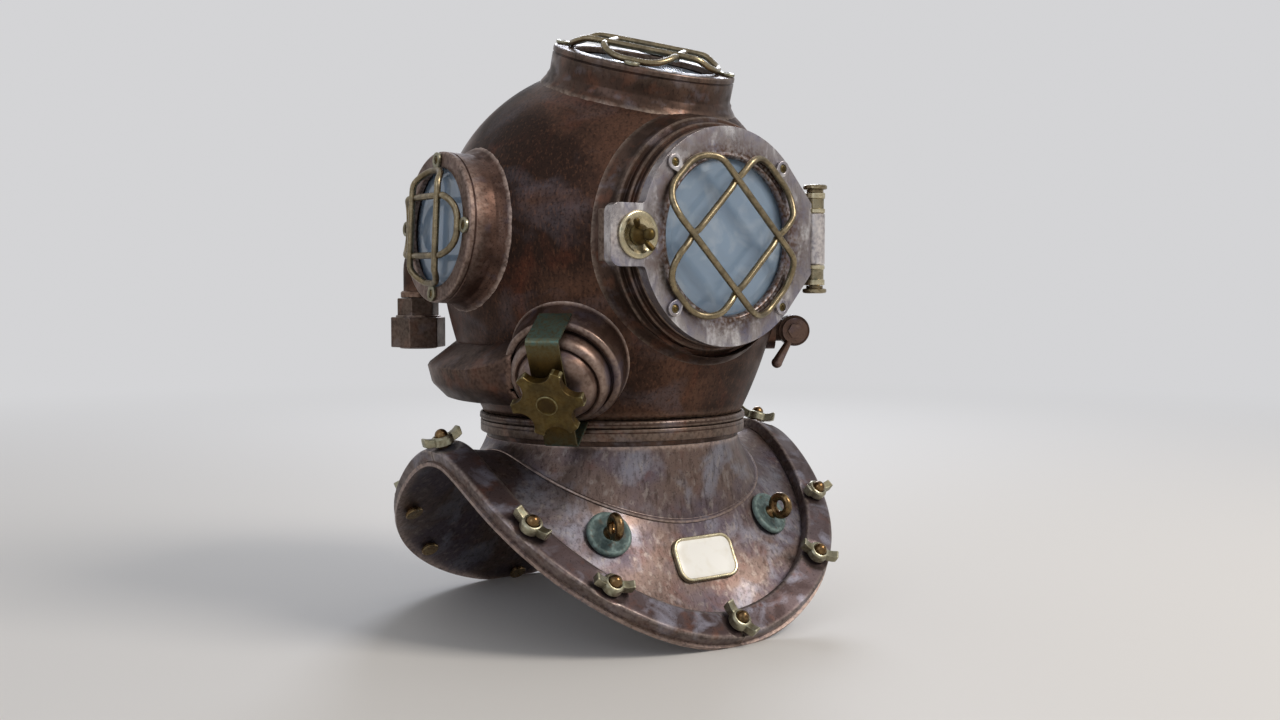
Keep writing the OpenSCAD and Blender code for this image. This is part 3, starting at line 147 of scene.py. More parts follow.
@dataclass(frozen=True)
class Finish:
    """What every finish has: a name and the record's material slot that it belongs to."""

    name: str
    slot: str

    def material(self) -> bpy.types.Material:
        """Makes the material, once.

        Returns:
            The material of this finish.
        """
        known = bpy.data.materials.get(self.name)
        if known:
            return known
        made = bpy.data.materials.new(self.name)
        made.use_nodes = True
        made.node_tree.nodes.clear()
        add_node(made.node_tree, "OutputMaterial", {"Surface": self.surface(made.node_tree)})
        return made

    def surface(self, tree: Tree) -> Node:
        """Builds the shader, which each kind of finish does in its own way."""
        raise NotImplementedError

    def relief(self, tree: Tree, place: Socket, size: float, depth: float, more: Options = None) -> Node:
        """Adds an uneven surface.

        Args:
            tree: the material's node tree.
            place: the coordinates.
            size: extent of one unevenness in mm.
            depth: its height in mm.
            more: other inputs of the bump, such as the relief that it lies on.

        Returns:
            The bump node.
        """
        cloud = add_node(tree, "TexNoise", {"Vector": place, "Scale": 1 / (MM * size), "Detail": 3.0})
        inputs = {"Height": cloud, "Strength": 0.7, "Distance": depth * MM}
        return add_node(tree, "Bump", {**inputs, **(more or {})})


@dataclass(frozen=True)
class Mottle:
    """One irregular layer of colour: a cloud of spots or streaks of a real size.

    Size is the spots' extent along x, y and z in mm; low and high are the cloud's values
    between which the layer comes in, and share is how much of it shows where it is full.
    """

    colour: str
    size: tuple[float, float, float]
    low: float
    high: float
    share: float
    detail: float = 4.0
    swirl: float = 0.0
    shift: float = 0.0


@dataclass(frozen=True)
class AgedMetal(Finish):
    """Copper alloy: layered tarnish, rubbed edges, grime and painted shade in corners, fine grain.

    Pointiness is about a half on a flat face, more on an edge and less in a corner: the wear
    comes in at wear_at, and grime with painted shade below its threshold. Chips break the wear up.
    """

    base: str = "#6B4A3D"
    mottles: tuple[Mottle, ...] = ()
    worn: str = "#B08F80"
    wear: float = 0.7
    wear_at: float = 0.53
    chip_mm: float = 3.0
    # Grime and painted shade: a near-black colour that fills the corners, where pointiness is low
    grime_and_shade: str = "#1E1411"
    grime_and_shade_share: float = 0.8
    grime_and_shade_at: float = 0.49
    grime_and_shade_full: float = 0.44
    patina: str = "#4E6E68"
    metallic: float = 0.85
    smooth: float = 0.34
    rough: float = 0.58
    grain_mm: float = 0.9
    grain_depth: float = 0.05
    dent_mm: float = 9.0
    dent_depth: float = 0.12

    def surface(self, tree: Tree) -> Node:
        """Builds the metal.

        Args:
            tree: the material's node tree.

        Returns:
            The shader node.
        """
        place = add_node(tree, "TexCoord").outputs["Object"]
        clouds, layers = [], []
        for spot in self.mottles:
            sizes = {"Scale": [1 / (MM * s) for s in spot.size], "Location": (spot.shift,) * 3}
            spread = add_node(tree, "Mapping", {"Vector": place, **sizes})
            looks = {"Scale": 1.0, "Detail": spot.detail, "Distortion": spot.swirl}
            clouds.append(add_node(tree, "TexNoise", {"Vector": spread, **looks}))
            band = {"From Min": spot.low, "From Max": spot.high, "To Max": spot.share}
            layers.append((add_node(tree, "MapRange", {"Value": clouds[-1], **band}), spot.colour))

        # Wear on the edges, broken up by chips, and not where a piece is marked plain
        edge = add_node(tree, "NewGeometry").outputs["Pointiness"]
        looks = {"Scale": 1 / (MM * self.chip_mm), "Detail": 5.0}
        chips = add_node(tree, "TexNoise", {"Vector": place, **looks})
        band = {"From Min": 0.34, "From Max": 0.6, "To Min": 0.25}
        handled = add_node(tree, "MapRange", {"Value": chips, **band})
        band = {"From Min": self.wear_at - 0.02, "From Max": self.wear_at + 0.04, "To Max": self.wear}
        proud = add_node(tree, "MapRange", {"Value": edge, **band})
        rubbed = add_node(tree, "Math", {0: proud, 1: handled}, operation="MULTIPLY")
        plain = add_node(tree, "Attribute", attribute_name="plain").outputs["Fac"]
        kept = add_node(tree, "Math", {0: plain, 1: -1.0, 2: 1.0}, operation="MULTIPLY_ADD")
        shown = add_node(tree, "Math", {0: rubbed, 1: kept}, operation="MULTIPLY")

        # Grime and painted shade in the low-pointiness corners, and the patina that a piece is stained with
        band = {"From Min": self.grime_and_shade_at, "From Max": self.grime_and_shade_full, "To Max": self.grime_and_shade_share}
        grime_and_shade_mask = add_node(tree, "MapRange", {"Value": edge, **band})
        stained = add_node(tree, "Attribute", attribute_name="patina").outputs["Fac"]
        green = add_node(tree, "Math", {0: stained, 1: handled}, operation="MULTIPLY")
        layers += [(shown, self.worn), (grime_and_shade_mask, self.grime_and_shade), (green, self.patina)]
        colour: Union[tuple, Socket] = linear(self.base)
        for mask, tint in layers:
            inputs = {MIX_FACTOR: mask, MIX_A: colour, MIX_B: linear(tint)}
            colour = add_node(tree, "Mix", inputs, data_type="RGBA").outputs[MIX_OUT]
        band = {"From Min": 0.36, "From Max": 0.64, "To Min": self.smooth, "To Max": self.rough}
        dulled = add_node(tree, "MapRange", {"Value": clouds[0], **band})
        dents = self.relief(tree, place, self.dent_mm, self.dent_depth)
        grain = self.relief(tree, place, self.grain_mm, self.grain_depth, {"Normal": dents})
        inputs = {"Base Color": colour, "Metallic": self.metallic, "Roughness": dulled, "Normal": grain}
        return add_node(tree, "BsdfPrincipled", inputs)


@dataclass(frozen=True)
class PlateGlass(Finish):
    """Thick old plate glass: part clear, with a slate-blue body and a film of dried salt."""

    body: str = "#A2B8CE"
    film: str = "#D3DEE8"
    film_mm: float = 26.0
    film_share: float = 0.7
    clear: float = 0.45
    bending: float = 1.52

    def surface(self, tree: Tree) -> Node:
        """Builds the glass.

        Args:
            tree: the material's node tree.

        Returns:
            The shader node.
        """
        place = add_node(tree, "TexCoord").outputs["Object"]
        looks = {"Scale": 1 / (MM * self.film_mm), "Detail": 6.0, "Distortion": 0.8}
        smears = add_node(tree, "TexNoise", {"Vector": place, **looks})
        band = {"From Min": 0.5, "From Max": 0.72, "To Max": self.film_share}
        filmed = add_node(tree, "MapRange", {"Value": smears, **band})
        inputs = {MIX_FACTOR: filmed, MIX_A: linear(self.body), MIX_B: linear(self.film)}
        tint = add_node(tree, "Mix", inputs, data_type="RGBA").outputs[MIX_OUT]
        band = {"From Min": 0.45, "From Max": 0.75, "To Min": 0.03, "To Max": 0.22}
        blur = add_node(tree, "MapRange", {"Value": smears, **band})
        inputs = {"IOR": self.bending, "Transmission Weight": self.clear}
        return add_node(tree, "BsdfPrincipled", {"Base Color": tint, "Roughness": blur, **inputs})


@dataclass(frozen=True)
class Coating(Finish):
    """A non-metal surface: enamel, rubber or leather, with stains and a grain of a real size."""

    base: str = "#F2F0E8"
    stain: str = "#D6CDB4"
    stain_mm: float = 14.0
    stain_share: float = 0.3
    grain_mm: float = 1.2
    grain_depth: float = 0.03
    smooth: float = 0.3
    rough: float = 0.45
    gloss: float = 0.0

    def surface(self, tree: Tree) -> Node:
        """Builds the coating.

        Args:
            tree: the material's node tree.

        Returns:
            The shader node.
        """
        place = add_node(tree, "TexCoord").outputs["Object"]
        looks = {"Scale": 1 / (MM * self.stain_mm), "Detail": 6.0, "Distortion": 0.4}
        stains = add_node(tree, "TexNoise", {"Vector": place, **looks})
        band = {"From Min": 0.5, "From Max": 0.7, "To Max": self.stain_share}
        mask = add_node(tree, "MapRange", {"Value": stains, **band})
        inputs = {MIX_FACTOR: mask, MIX_A: linear(self.base), MIX_B: linear(self.stain)}
        tint = add_node(tree, "Mix", inputs, data_type="RGBA").outputs[MIX_OUT]
        band = {"From Min": 0.35, "From Max": 0.65, "To Min": self.smooth, "To Max": self.rough}
        dulled = add_node(tree, "MapRange", {"Value": stains, **band})
        bump = self.relief(tree, place, self.grain_mm, self.grain_depth, {"Strength": 0.6})
        inputs = {"Normal": bump, "Coat Weight": self.gloss, "Coat Roughness": 0.15}
        return add_node(tree, "BsdfPrincipled", {"Base Color": tint, "Roughness": dulled, **inputs})


# Spun copper sheet, long oxidised: dark brown with red blooms, slate tarnish and upright runs
SPUN_COPPER = AgedMetal(
    "spun_copper_oxidised",
    "copper",
    base="#573D30",
    mottles=(
        Mottle("#2B1D17", (80, 80, 60), 0.42, 0.6, 0.9),
        Mottle("#683A29", (40, 40, 56), 0.53, 0.7, 0.55, swirl=0.5, shift=3.0),
        Mottle("#5C5559", (56, 56, 40), 0.54, 0.72, 0.5, swirl=0.6, shift=7.0),
        Mottle("#281A15", (3.0, 3.0, 9), 0.48, 0.68, 0.45, shift=1.5),
        Mottle("#74503C", (2.0, 2.0, 4.5), 0.54, 0.72, 0.4, shift=5.0),
        Mottle("#1B120F", (2.2, 2.2, 2.2), 0.52, 0.68, 0.55, detail=3.0),
    ),
    worn="#A28775",
    wear=0.6,
    smooth=0.36,
    rough=0.6,
)

# Beaten copper sheet of the breastplate: greyed by violet tarnish, with red-brown rubbed through
BEATEN_COPPER = AgedMetal(
    "beaten_copper_tarnished",
    "copper",
    base="#6C5B54",
    mottles=(
        Mottle("#57505C", (60, 60, 44), 0.42, 0.6, 0.75, swirl=0.4),
        Mottle("#684A42", (26, 26, 24), 0.55, 0.7, 0.55, swirl=0.6, shift=4.0),
        Mottle("#888993", (40, 40, 34), 0.53, 0.68, 0.7, swirl=0.5, shift=9.0),
        Mottle("#30231E", (3.0, 3.0, 13), 0.5, 0.68, 0.5, shift=2.0),
        Mottle("#9A9089", (5.0, 5.0, 9), 0.54, 0.7, 0.45, shift=6.0),
        Mottle("#1D1512", (1.4, 1.4, 1.4), 0.57, 0.7, 0.45, detail=2.0),
    ),
    worn="#B39E92",
    wear=0.8,
    smooth=0.3,
    rough=0.55,
)

# Forged straps of the rim: violet-grey on top, dark brown in the wear, pale along the edges
FORGED_COPPER = AgedMetal(
    "forged_copper_violet",
    "copper",
    base="#5C4F50",
    mottles=(
        Mottle("#3B2D2B", (30, 30, 26), 0.42, 0.6, 0.75, swirl=0.5),
        Mottle("#85838E", (24, 24, 20), 0.52, 0.67, 0.75, swirl=0.6, shift=5.0),
        Mottle("#674232", (14, 14, 12), 0.55, 0.7, 0.5, shift=3.0),
        Mottle("#241916", (1.6, 1.6, 1.6), 0.56, 0.7, 0.5, detail=2.0),
    ),
    worn="#B5A79C",
    wear=0.8,
    smooth=0.3,
    rough=0.54,
)

# Cast gunmetal of the door and its guard's eyelets, rubbed by hands: pale pinkish grey with
# violet-blue stains
RUBBED_GUNMETAL = AgedMetal(
    "gunmetal_cast_rubbed",
    "pale_copper",
    base="#918B8C",
    mottles=(
        Mottle("#595B75", (26, 26, 30), 0.46, 0.64, 0.8, swirl=0.9),
        Mottle("#6E5A52", (20, 20, 22), 0.55, 0.7, 0.6, swirl=0.6, shift=5.0),
        Mottle("#D9D6D6", (12, 12, 26), 0.52, 0.66, 0.8, swirl=0.3, shift=8.0),
        Mottle("#43363A", (2.4, 2.4, 12), 0.55, 0.72, 0.45, shift=2.0),
        Mottle("#272020", (1.4, 1.4, 1.4), 0.6, 0.72, 0.4, detail=2.0),
    ),
    worn="#D8D0CB",
    wear=0.8,
    patina="#574237",
    smooth=0.26,
    rough=0.5,
)

# Cast copper alloy of the exhaust valve and the spitcock's plug: pinkish tan with a blue sheen,
# smooth and half bright
VALVE_METAL = AgedMetal(
    "gunmetal_valve_tan",
    "copper",
    base="#6E584D",
    mottles=(
        Mottle("#555468", (24, 24, 24), 0.5, 0.66, 0.6, swirl=0.7),
        Mottle("#4A362C", (22, 22, 18), 0.48, 0.64, 0.75, swirl=0.5, shift=4.0),
        Mottle("#8F7A6E", (9, 9, 12), 0.54, 0.7, 0.5, shift=7.0),
        Mottle("#2A1E1A", (1.5, 1.5, 1.5), 0.57, 0.7, 0.45, detail=2.0),
    ),
    worn="#C7B3A6",
    wear=0.6,
    smooth=0.3,
    rough=0.5,
)

# Cast gunmetal of the neck rings, the door frame and other parts that nobody rubs: dark brown,
# with thin pale lines along its turned edges
BROWNED_GUNMETAL = AgedMetal(
    "gunmetal_cast_browned",
    "pale_copper",
    base="#4F3D34",
    mottles=(
        Mottle("#33261F", (24, 24, 20), 0.42, 0.6, 0.8, swirl=0.5),
        Mottle("#6B4737", (16, 16, 18), 0.54, 0.68, 0.55, swirl=0.4, shift=5.0),
        Mottle("#6A6367", (18, 18, 14), 0.54, 0.7, 0.6, shift=8.0),
        Mottle("#1F1613", (1.6, 1.6, 4.0), 0.55, 0.7, 0.5, detail=2.0),
    ),
    worn="#A08E80",
    wear=0.6,
    wear_at=0.535,
    smooth=0.3,
    rough=0.54,
)

# Cast collars of the side windows: matt and granular, the colour of dull rose
COLLAR_METAL = AgedMetal(
    "gunmetal_collar_matt",
    "copper",
    base="#5C453B",
    mottles=(
        Mottle("#3B2A23", (24, 24, 28), 0.44, 0.6, 0.8, swirl=0.4),
        Mottle("#7D665D", (10, 10, 12), 0.54, 0.7, 0.55, shift=4.0),
        Mottle("#4B4248", (16, 16, 12), 0.56, 0.68, 0.55, shift=7.0),
        Mottle("#261A16", (1.6, 1.6, 1.6), 0.53, 0.68, 0.6, detail=2.0),
    ),
    worn="#C0ACA0",
    wear=0.85,
    smooth=0.42,
    rough=0.66,
    grain_depth=0.09,
)

# Sheet of the exhaust duct, never handled: nearly black-brown with a red cast
DARK_COPPER = AgedMetal(
    "sheet_copper_blackened",
    "dark_copper",
    base="#38241C",
    mottles=(
        Mottle("#1E1410", (30, 30, 26), 0.42, 0.6, 0.8, swirl=0.4),
        Mottle("#643A29", (20, 20, 20), 0.53, 0.68, 0.6, shift=5.0),
        Mottle("#50464A", (14, 14, 14), 0.56, 0.7, 0.5, shift=8.0),
        Mottle("#19110F", (1.5, 1.5, 1.5), 0.56, 0.7, 0.5, detail=2.0),
    ),
    worn="#8A6F60",
    smooth=0.36,
    rough=0.58,
)

# Drawn brass wire and fittings, antique: deep olive-gold, with grime and painted shade in its hollows
WIRE_BRASS = AgedMetal(
    "brass_wire_antique",
    "brass",
    base="#76684F",
    mottles=(
        Mottle("#4A4032", (18, 18, 18), 0.44, 0.6, 0.7, swirl=0.3),
        Mottle("#99896B", (9, 9, 9), 0.54, 0.68, 0.6, shift=3.0),
        Mottle("#35302A", (1.6, 1.6, 1.6), 0.56, 0.7, 0.45, detail=2.0),
    ),
    worn="#C9BC9C",
    wear=0.5,
    metallic=0.95,
    smooth=0.22,
    rough=0.4,
    grain_depth=0.03,
    dent_depth=0.05,
)

# Turned brass that is handled often: pale and fairly bright, with grey-green spots
HANDLED_BRASS = AgedMetal(
    "brass_turned_handled",
    "bright_brass",
    base="#BDB192",
    mottles=(
        Mottle("#857758", (12, 12, 12), 0.44, 0.62, 0.7, swirl=0.4),
        Mottle("#6B7462", (6, 6, 6), 0.56, 0.7, 0.6, shift=4.0),
        Mottle("#4A412F", (1.5, 1.5, 1.5), 0.58, 0.7, 0.4, detail=2.0),
    ),
    worn="#DDD4B6",
    wear=0.7,
    metallic=0.95,
    smooth=0.2,
    rough=0.38,
    grain_depth=0.03,
    dent_depth=0.04,
)

# Cast brass of the wing nuts and the fixed windows' eyelets: weathered to a grey olive, paler
# along the edges
NUT_BRASS = AgedMetal(
    "brass_cast_weathered",
    "bright_brass",
    base="#86806B",
    mottles=(
        Mottle("#5C5239", (10, 10, 10), 0.44, 0.62, 0.75, swirl=0.4),
        Mottle("#7A8270", (7, 7, 7), 0.54, 0.7, 0.6, shift=4.0),
        Mottle("#3C3425", (1.5, 1.5, 1.5), 0.56, 0.7, 0.45, detail=2.0),
    ),
    worn="#C3BFA6",
    wear=0.75,
    metallic=0.9,
    smooth=0.26,
    rough=0.46,
    grain_depth=0.04,
    dent_depth=0.06,
)

# Studs and lashing eyes: brown-gold, smooth and fairly shiny
STUD_BRASS = AgedMetal(
    "brass_stud_browned",
    "bright_brass",
    base="#6E5233",
    mottles=(
        Mottle("#3F2E1F", (7, 7, 7), 0.44, 0.62, 0.8, swirl=0.3),
        Mottle("#9A8057", (4, 4, 4), 0.54, 0.7, 0.6, shift=2.0),
    ),
    worn="#C9B689",
    wear=0.4,
    metallic=0.95,
    smooth=0.18,
    rough=0.36,
    grain_depth=0.02,
    dent_depth=0.03,
)

# Milled and turned brass of the handwheel, its bridge, the latch screw and the guards' screws:
# olive brown, pale only along thin edges
OLIVE_BRASS = AgedMetal(
    "brass_milled_olive",
    "green_brass",
    base="#54411D",
    mottles=(
        Mottle("#3A2D14", (22, 22, 22), 0.42, 0.6, 0.7, swirl=0.4),
        Mottle("#6A5A2C", (12, 12, 12), 0.54, 0.7, 0.5, shift=3.0),
        Mottle("#281F10", (1.6, 1.6, 1.6), 0.57, 0.7, 0.4, detail=2.0),
    ),
    worn="#B9B084",
    wear=0.75,
    wear_at=0.56,
    # Less grime and painted shade in its corners
    grime_and_shade_share=0.5,
    patina="#4C5F55",
    smooth=0.3,
    rough=0.5,
)

# Bronze under a skin of verdigris: dusty teal, brown where it has rubbed through
VERDIGRIS_BRONZE = AgedMetal(
    "bronze_verdigris",
    "verdigris",
    base="#566866",
    mottles=(
        Mottle("#394947", (9, 9, 9), 0.42, 0.6, 0.75, swirl=0.5),
        Mottle("#7B8D89", (5, 5, 5), 0.52, 0.68, 0.7, shift=3.0),
        Mottle("#54402C", (4, 4, 4), 0.58, 0.7, 0.6, shift=6.0),
        Mottle("#1F2B29", (1.4, 1.4, 1.4), 0.58, 0.7, 0.4, detail=2.0),
    ),
    worn="#94A89F",
    wear=0.5,
    metallic=0.35,
    smooth=0.5,
    rough=0.75,
)

# Bare enamelled plate: cream, satin, with a few yellowed stains and no lettering
CREAM_ENAMEL = Coating("enamel_cream_stained", "enamel", gloss=0.4)

# Window plate glass: a slate-blue depth under a pale dry film that blurs it in patches
WINDOW_GLASS = PlateGlass("plate_glass_slate", "window_glass")

# Moulded rubber: black, matt, bloomed grey in places
SEAL_RUBBER = Coating(
    "rubber_moulded_black", "rubber", base="#1C1B1A", stain="#3A3937", grain_mm=0.7, smooth=0.6, rough=0.8,
)

# Oiled leather washer: dark brown with a pebbled grain
GASKET_LEATHER = Coating(
    "leather_oiled_brown", "leather", base="#3A2417", stain="#5A3B26", stain_mm=8.0, grain_mm=1.4,
    grain_depth=0.12, smooth=0.45, rough=0.7,
)


# Modelling


def turned(axis: str, angle: float) -> Matrix:
    """Gives a turn about an axis by an angle in degrees."""
    return Matrix.Rotation(radians(angle), 4, axis)


def moved(x: float, y: float, z: float) -> Matrix:
    """Gives a shift in millimetres."""
    return Matrix.Translation((x, y, z))


def circle(count: int, radius: float) -> Profile:
    """Gives points spread evenly round a circle."""
    angles = [FULL_TURN * i / count for i in range(count)]
    return [(radius * cos(angle), radius * sin(angle)) for angle in angles]


def arc(radius: float, start: float, end: float, steps: int) -> Profile:
    """Gives points along an arc from one angle in degrees to another."""
    angles = [radians(start + (end - start) * i / steps) for i in range(steps + 1)]
    return [(radius * cos(angle), radius * sin(angle)) for angle in angles]


def from_edge(r: float, z: float, *steps: tuple[float, float]) -> Profile:
    """Gives profile points by how far out and up they lie from one radius and height."""
    return [(r + out, z + up) for out, up in steps]


def frames_along(path: Sequence[Point], radius: float, closed: bool) -> list[Matrix]:
    """Works out frames whose z follows a path and that turn as little as they can.

    Args:
        path: the points to pass through.
        radius: the scale of the frames.
        closed: whether the last point leads back to the first.

    Returns:
        One matrix per point.
    """
    points = [Vector(p) for p in path]
    last = len(points) - 1
    side: Optional[Vector] = None
    frames = []
    for i, point in enumerate(points):
        before = points[i - 1] if closed or i > 0 else point
        after = points[(i + 1) % len(points)] if closed or i < last else point
        along = (after - before).normalized()
        side = along.orthogonal() if side is None else side - along * side.dot(along)
        side.normalize()
        basis = Matrix((side, along.cross(side), along)).transposed().to_4x4()
        frames.append(Matrix.Translation(point) @ basis @ Matrix.Scale(radius, 4))
    return frames


class Form:
    """A piece in the making, in millimetres: its methods shape it, and dress makes it an object."""

    def __init__(self) -> None:
        """Starts with nothing."""
        self.bm = bmesh.new()

    def clean(self) -> "Form":
        """Closes seams and poles and turns the faces outwards."""
        bmesh.ops.remove_doubles(self.bm, verts=self.bm.verts, dist=0.002)
        bmesh.ops.recalc_face_normals(self.bm, faces=self.bm.faces)
        return self

    def lathe(self, profile: Profile, steps: int) -> "Form":
        """Spins a profile round z: a closed one, or an open one that meets the axis.

        Args:
            profile: radius and height of each of its points.
            steps: faces round the axis.

        Returns:
            This form.
        """
        verts = [self.bm.verts.new((r, 0.0, z)) for r, z in profile]
        closed = min(profile[0][0], profile[-1][0]) > 0.001
        after = verts[1:] + verts[:1] if closed else verts[1:]
        edges = [self.bm.edges.new(pair) for pair in zip(verts, after)]
        bmesh.ops.spin(
            self.bm, geom=verts + edges, cent=(0, 0, 0), axis=(0, 0, 1), angle=FULL_TURN, steps=steps,
            use_merge=True,
        )
        return self.clean()

    def rise(self, height: float) -> "Form":
        """Raises the form, flat so far, to a solid.

        Args:
            height: how far it rises along z.

        Returns:
            This form.
        """
        made = bmesh.ops.extrude_face_region(self.bm, geom=self.bm.faces[:])["geom"]
        top = [v for v in made if isinstance(v, bmesh.types.BMVert)]
        bmesh.ops.translate(self.bm, verts=top, vec=(0, 0, height))
        return self.clean()

    def slab(self, outline: Profile, height: float) -> "Form":
        """Raises a flat outline to a solid.

        Args:
            outline: x and y of its corners.
            height: how far it rises along z.

        Returns:
            This form.
        """
        self.bm.faces.new([self.bm.verts.new((x, y, 0.0)) for x, y in outline])
        return self.rise(height)

    def ring_slab(self, outer: Sequence[Point], inner: Sequence[Point], height: float) -> "Form":
        """Raises the area between two flat outlines to a solid with a hole.

        Args:
            outer: x and y of the outer corners.
            inner: x and y of the hole's corners.
            height: how far it rises along z.

        Returns:
            This form.
        """
        edges = []
        for outline in (outer, inner):
            verts = [self.bm.verts.new((x, y, 0.0)) for x, y in outline]
            edges += [self.bm.edges.new(pair) for pair in zip(verts, verts[1:] + verts[:1])]
        bmesh.ops.triangle_fill(self.bm, edges=edges, use_beauty=True)
        return self.rise(height)

    def wire(self, path: Sequence[Point], radius: float, sides: int, closed: bool = False) -> "Form":
        """Runs a round bar along a path.

        Args:
            path: the points of its centreline.
            radius: its radius.
            sides: faces round the bar.
            closed: whether the path is a loop.

        Returns:
            This form.
        """
        frames = frames_along(path, radius, closed)
        ring = bmesh.ops.create_circle(self.bm, segments=sides, radius=1.0)["verts"]
        bmesh.ops.transform(self.bm, matrix=frames[0], verts=ring)
        first = edges = list({e for v in ring for e in v.link_edges})
        for here, there in zip(frames, frames[1:]):
            made = bmesh.ops.extrude_edge_only(self.bm, edges=edges)["geom"]
            ring = [g for g in made if isinstance(g, bmesh.types.BMVert)]
            edges = [g for g in made if isinstance(g, bmesh.types.BMEdge) and set(g.verts) <= set(ring)]
            bmesh.ops.transform(self.bm, matrix=there @ here.inverted(), verts=ring)
        if closed:
            bmesh.ops.bridge_loops(self.bm, edges=first + edges)
        else:
            bmesh.ops.contextual_create(self.bm, geom=first)
            bmesh.ops.contextual_create(self.bm, geom=edges)
        return self.clean()

    def skin(
        self, across: int, along: int, surface: Callable[[float, float], Vector], capped: bool = False
    ) -> "Form":
        """Wraps a grid onto a surface.

        Args:
            across: cells in the surface's first direction.
            along: cells in its second direction.
            surface: gives the point at two shares from 0 to 1.
            capped: whether open ends are filled.

        Returns:
            This form.
        """
        made = bmesh.ops.create_grid(self.bm, x_segments=across, y_segments=along, size=0.5)
        for vert in made["verts"]:
            vert.co = surface(vert.co.x + 0.5, vert.co.y + 0.5)
        bmesh.ops.remove_doubles(self.bm, verts=self.bm.verts, dist=0.002)
        if capped:
            bmesh.ops.holes_fill(self.bm, edges=self.bm.edges[:], sides=0)
        return self.clean()

    def wings(self, outline: Profile, thickness: float, matrix: Matrix, angle: float = 30.0) -> "Form":
        """Adds two upright wings, half a turn apart.

        Args:
            outline: how far out and up the corners of one lie.
            thickness: its thickness.
            matrix: where the pair goes.
            angle: edges sharper than this many degrees are rounded.

        Returns:
            This form.
        """
        for half in (0, 180):
            wing = Form().slab(outline, thickness).soften(0.7, segments=3, angle=angle)
            wing.place(moved(0, thickness / 2, 0) @ turned("X", 90))
            self.join(wing, matrix @ turned("Z", half))
        return self

    def copy_node(self, node: bpy.types.Object) -> "Form":
        """Takes a merged copy of a CAD node's mesh, whose flat faces become whole again.

        Args:
            node: the CAD node.

        Returns:
            This form.
        """
        self.bm.from_mesh(node.data)
        bmesh.ops.scale(self.bm, vec=(1 / MM,) * 3, verts=self.bm.verts)
        bmesh.ops.remove_doubles(self.bm, verts=self.bm.verts, dist=0.004)
        bmesh.ops.dissolve_limit(
            self.bm, angle_limit=radians(0.6), verts=self.bm.verts, edges=self.bm.edges
        )
        bmesh.ops.recalc_face_normals(self.bm, faces=self.bm.faces)
        return self

    def soften(self, width: float, segments: int = 2, angle: float = 30.0) -> "Form":
        """Rounds the edges that are sharper than an angle.

        Args:
            width: width of the rounding.
            segments: faces across it.
            angle: the angle in degrees.

        Returns:
            This form.
        """
        limit = radians(angle)
        edges = [e for e in self.bm.edges if len(e.link_faces) == 2 and e.calc_face_angle(0.0) > limit]
        bmesh.ops.bevel(
            self.bm, geom=edges, offset=width, offset_type="OFFSET", affect="EDGES", segments=segments,
            profile=0.5, material=-1, clamp_overlap=True,
        )
        return self

    def place(self, matrix: Matrix) -> "Form":
        """Moves the whole form by a matrix."""
        bmesh.ops.transform(self.bm, matrix=matrix, verts=self.bm.verts)
        return self

    def shift(self, rule: Callable[[Vector], Vector]) -> "Form":
        """Moves each point to where a rule says."""
        for vert in self.bm.verts:
            vert.co = rule(vert.co)
        return self

    def cut(self, point: Point, outwards: Point) -> "Form":
        """Cuts away what lies beyond a plane and closes the cut.

        Args:
            point: a point on the plane.
            outwards: the plane's normal, towards what goes.

        Returns:
            This form.
        """
        geometry = self.bm.verts[:] + self.bm.edges[:] + self.bm.faces[:]
        made = bmesh.ops.bisect_plane(
            self.bm, geom=geometry, plane_co=point, plane_no=outwards, clear_outer=True
        )["geom_cut"]
        edges = [g for g in made if isinstance(g, bmesh.types.BMEdge)]
        bmesh.ops.holes_fill(self.bm, edges=edges, sides=0)
        return self.clean()

    def join(self, other: "Form", matrix: Matrix = Matrix()) -> "Form":
        """Adds another form, which is used up.

        Args:
            other: the form to add.
            matrix: where it goes.

        Returns:
            This form.
        """
        carrier = bpy.data.meshes.new("carrier")
        other.place(matrix).bm.to_mesh(carrier)
        other.bm.free()
        self.bm.from_mesh(carrier)
        bpy.data.meshes.remove(carrier)
        return self

    def stain(self, name: str, rule: Callable[[Vector], float]) -> "Form":
        """Paints an attribute that a finish reads.

        Args:
            name: the attribute's name.
            rule: its value at a point.

        Returns:
            This form.
        """
        layer = self.bm.verts.layers.float.get(name) or self.bm.verts.layers.float.new(name)
        for vert in self.bm.verts:
            vert[layer] = rule(vert.co)
        return self

    def dress(
        self, name: str, finish: Finish, body: Union[Body, str], *nodes: str, crease: float = 38.0,
        wall: float = 0.0, flats: bool = True,
    ) -> bpy.types.Object:
        """Makes the form an object in metres, with its finish, on its body.

        Args:
            name: the piece's name.
            finish: the finish that it takes.
            body: the CAD body that it rides on.
            nodes: the CAD nodes that it stands for.
            crease: edges sharper than this many degrees stay sharp.
            wall: thickness given to a sheet, inwards.
            flats: whether its flat faces are kept flat in shading.

        Returns:
            The object.
        """
        limit = radians(crease)
        for face in self.bm.faces:
            face.smooth = True
        for edge in self.bm.edges:
            edge.smooth = len(edge.link_faces) != 2 or edge.calc_face_angle(0.0) < limit
        bmesh.ops.scale(self.bm, vec=(MM,) * 3, verts=self.bm.verts)
        mesh = bpy.data.meshes.new(name)
        self.bm.to_mesh(mesh)
        self.bm.free()
        mesh.materials.append(finish.material())
        piece = bpy.data.objects.new(name, mesh)
        bpy.context.scene.collection.objects.link(piece)
        if wall:
            sheet = piece.modifiers.new("wall", "SOLIDIFY")
            sheet.thickness = wall * MM
            sheet.offset = -1
            sheet.use_even_offset = True
        if flats:
            shading = piece.modifiers.new("flats", "WEIGHTED_NORMAL")
            shading.keep_sharp = True
        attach(piece, body.value if isinstance(body, Body) else body)
        if nodes:
            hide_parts(*nodes)
        return piece


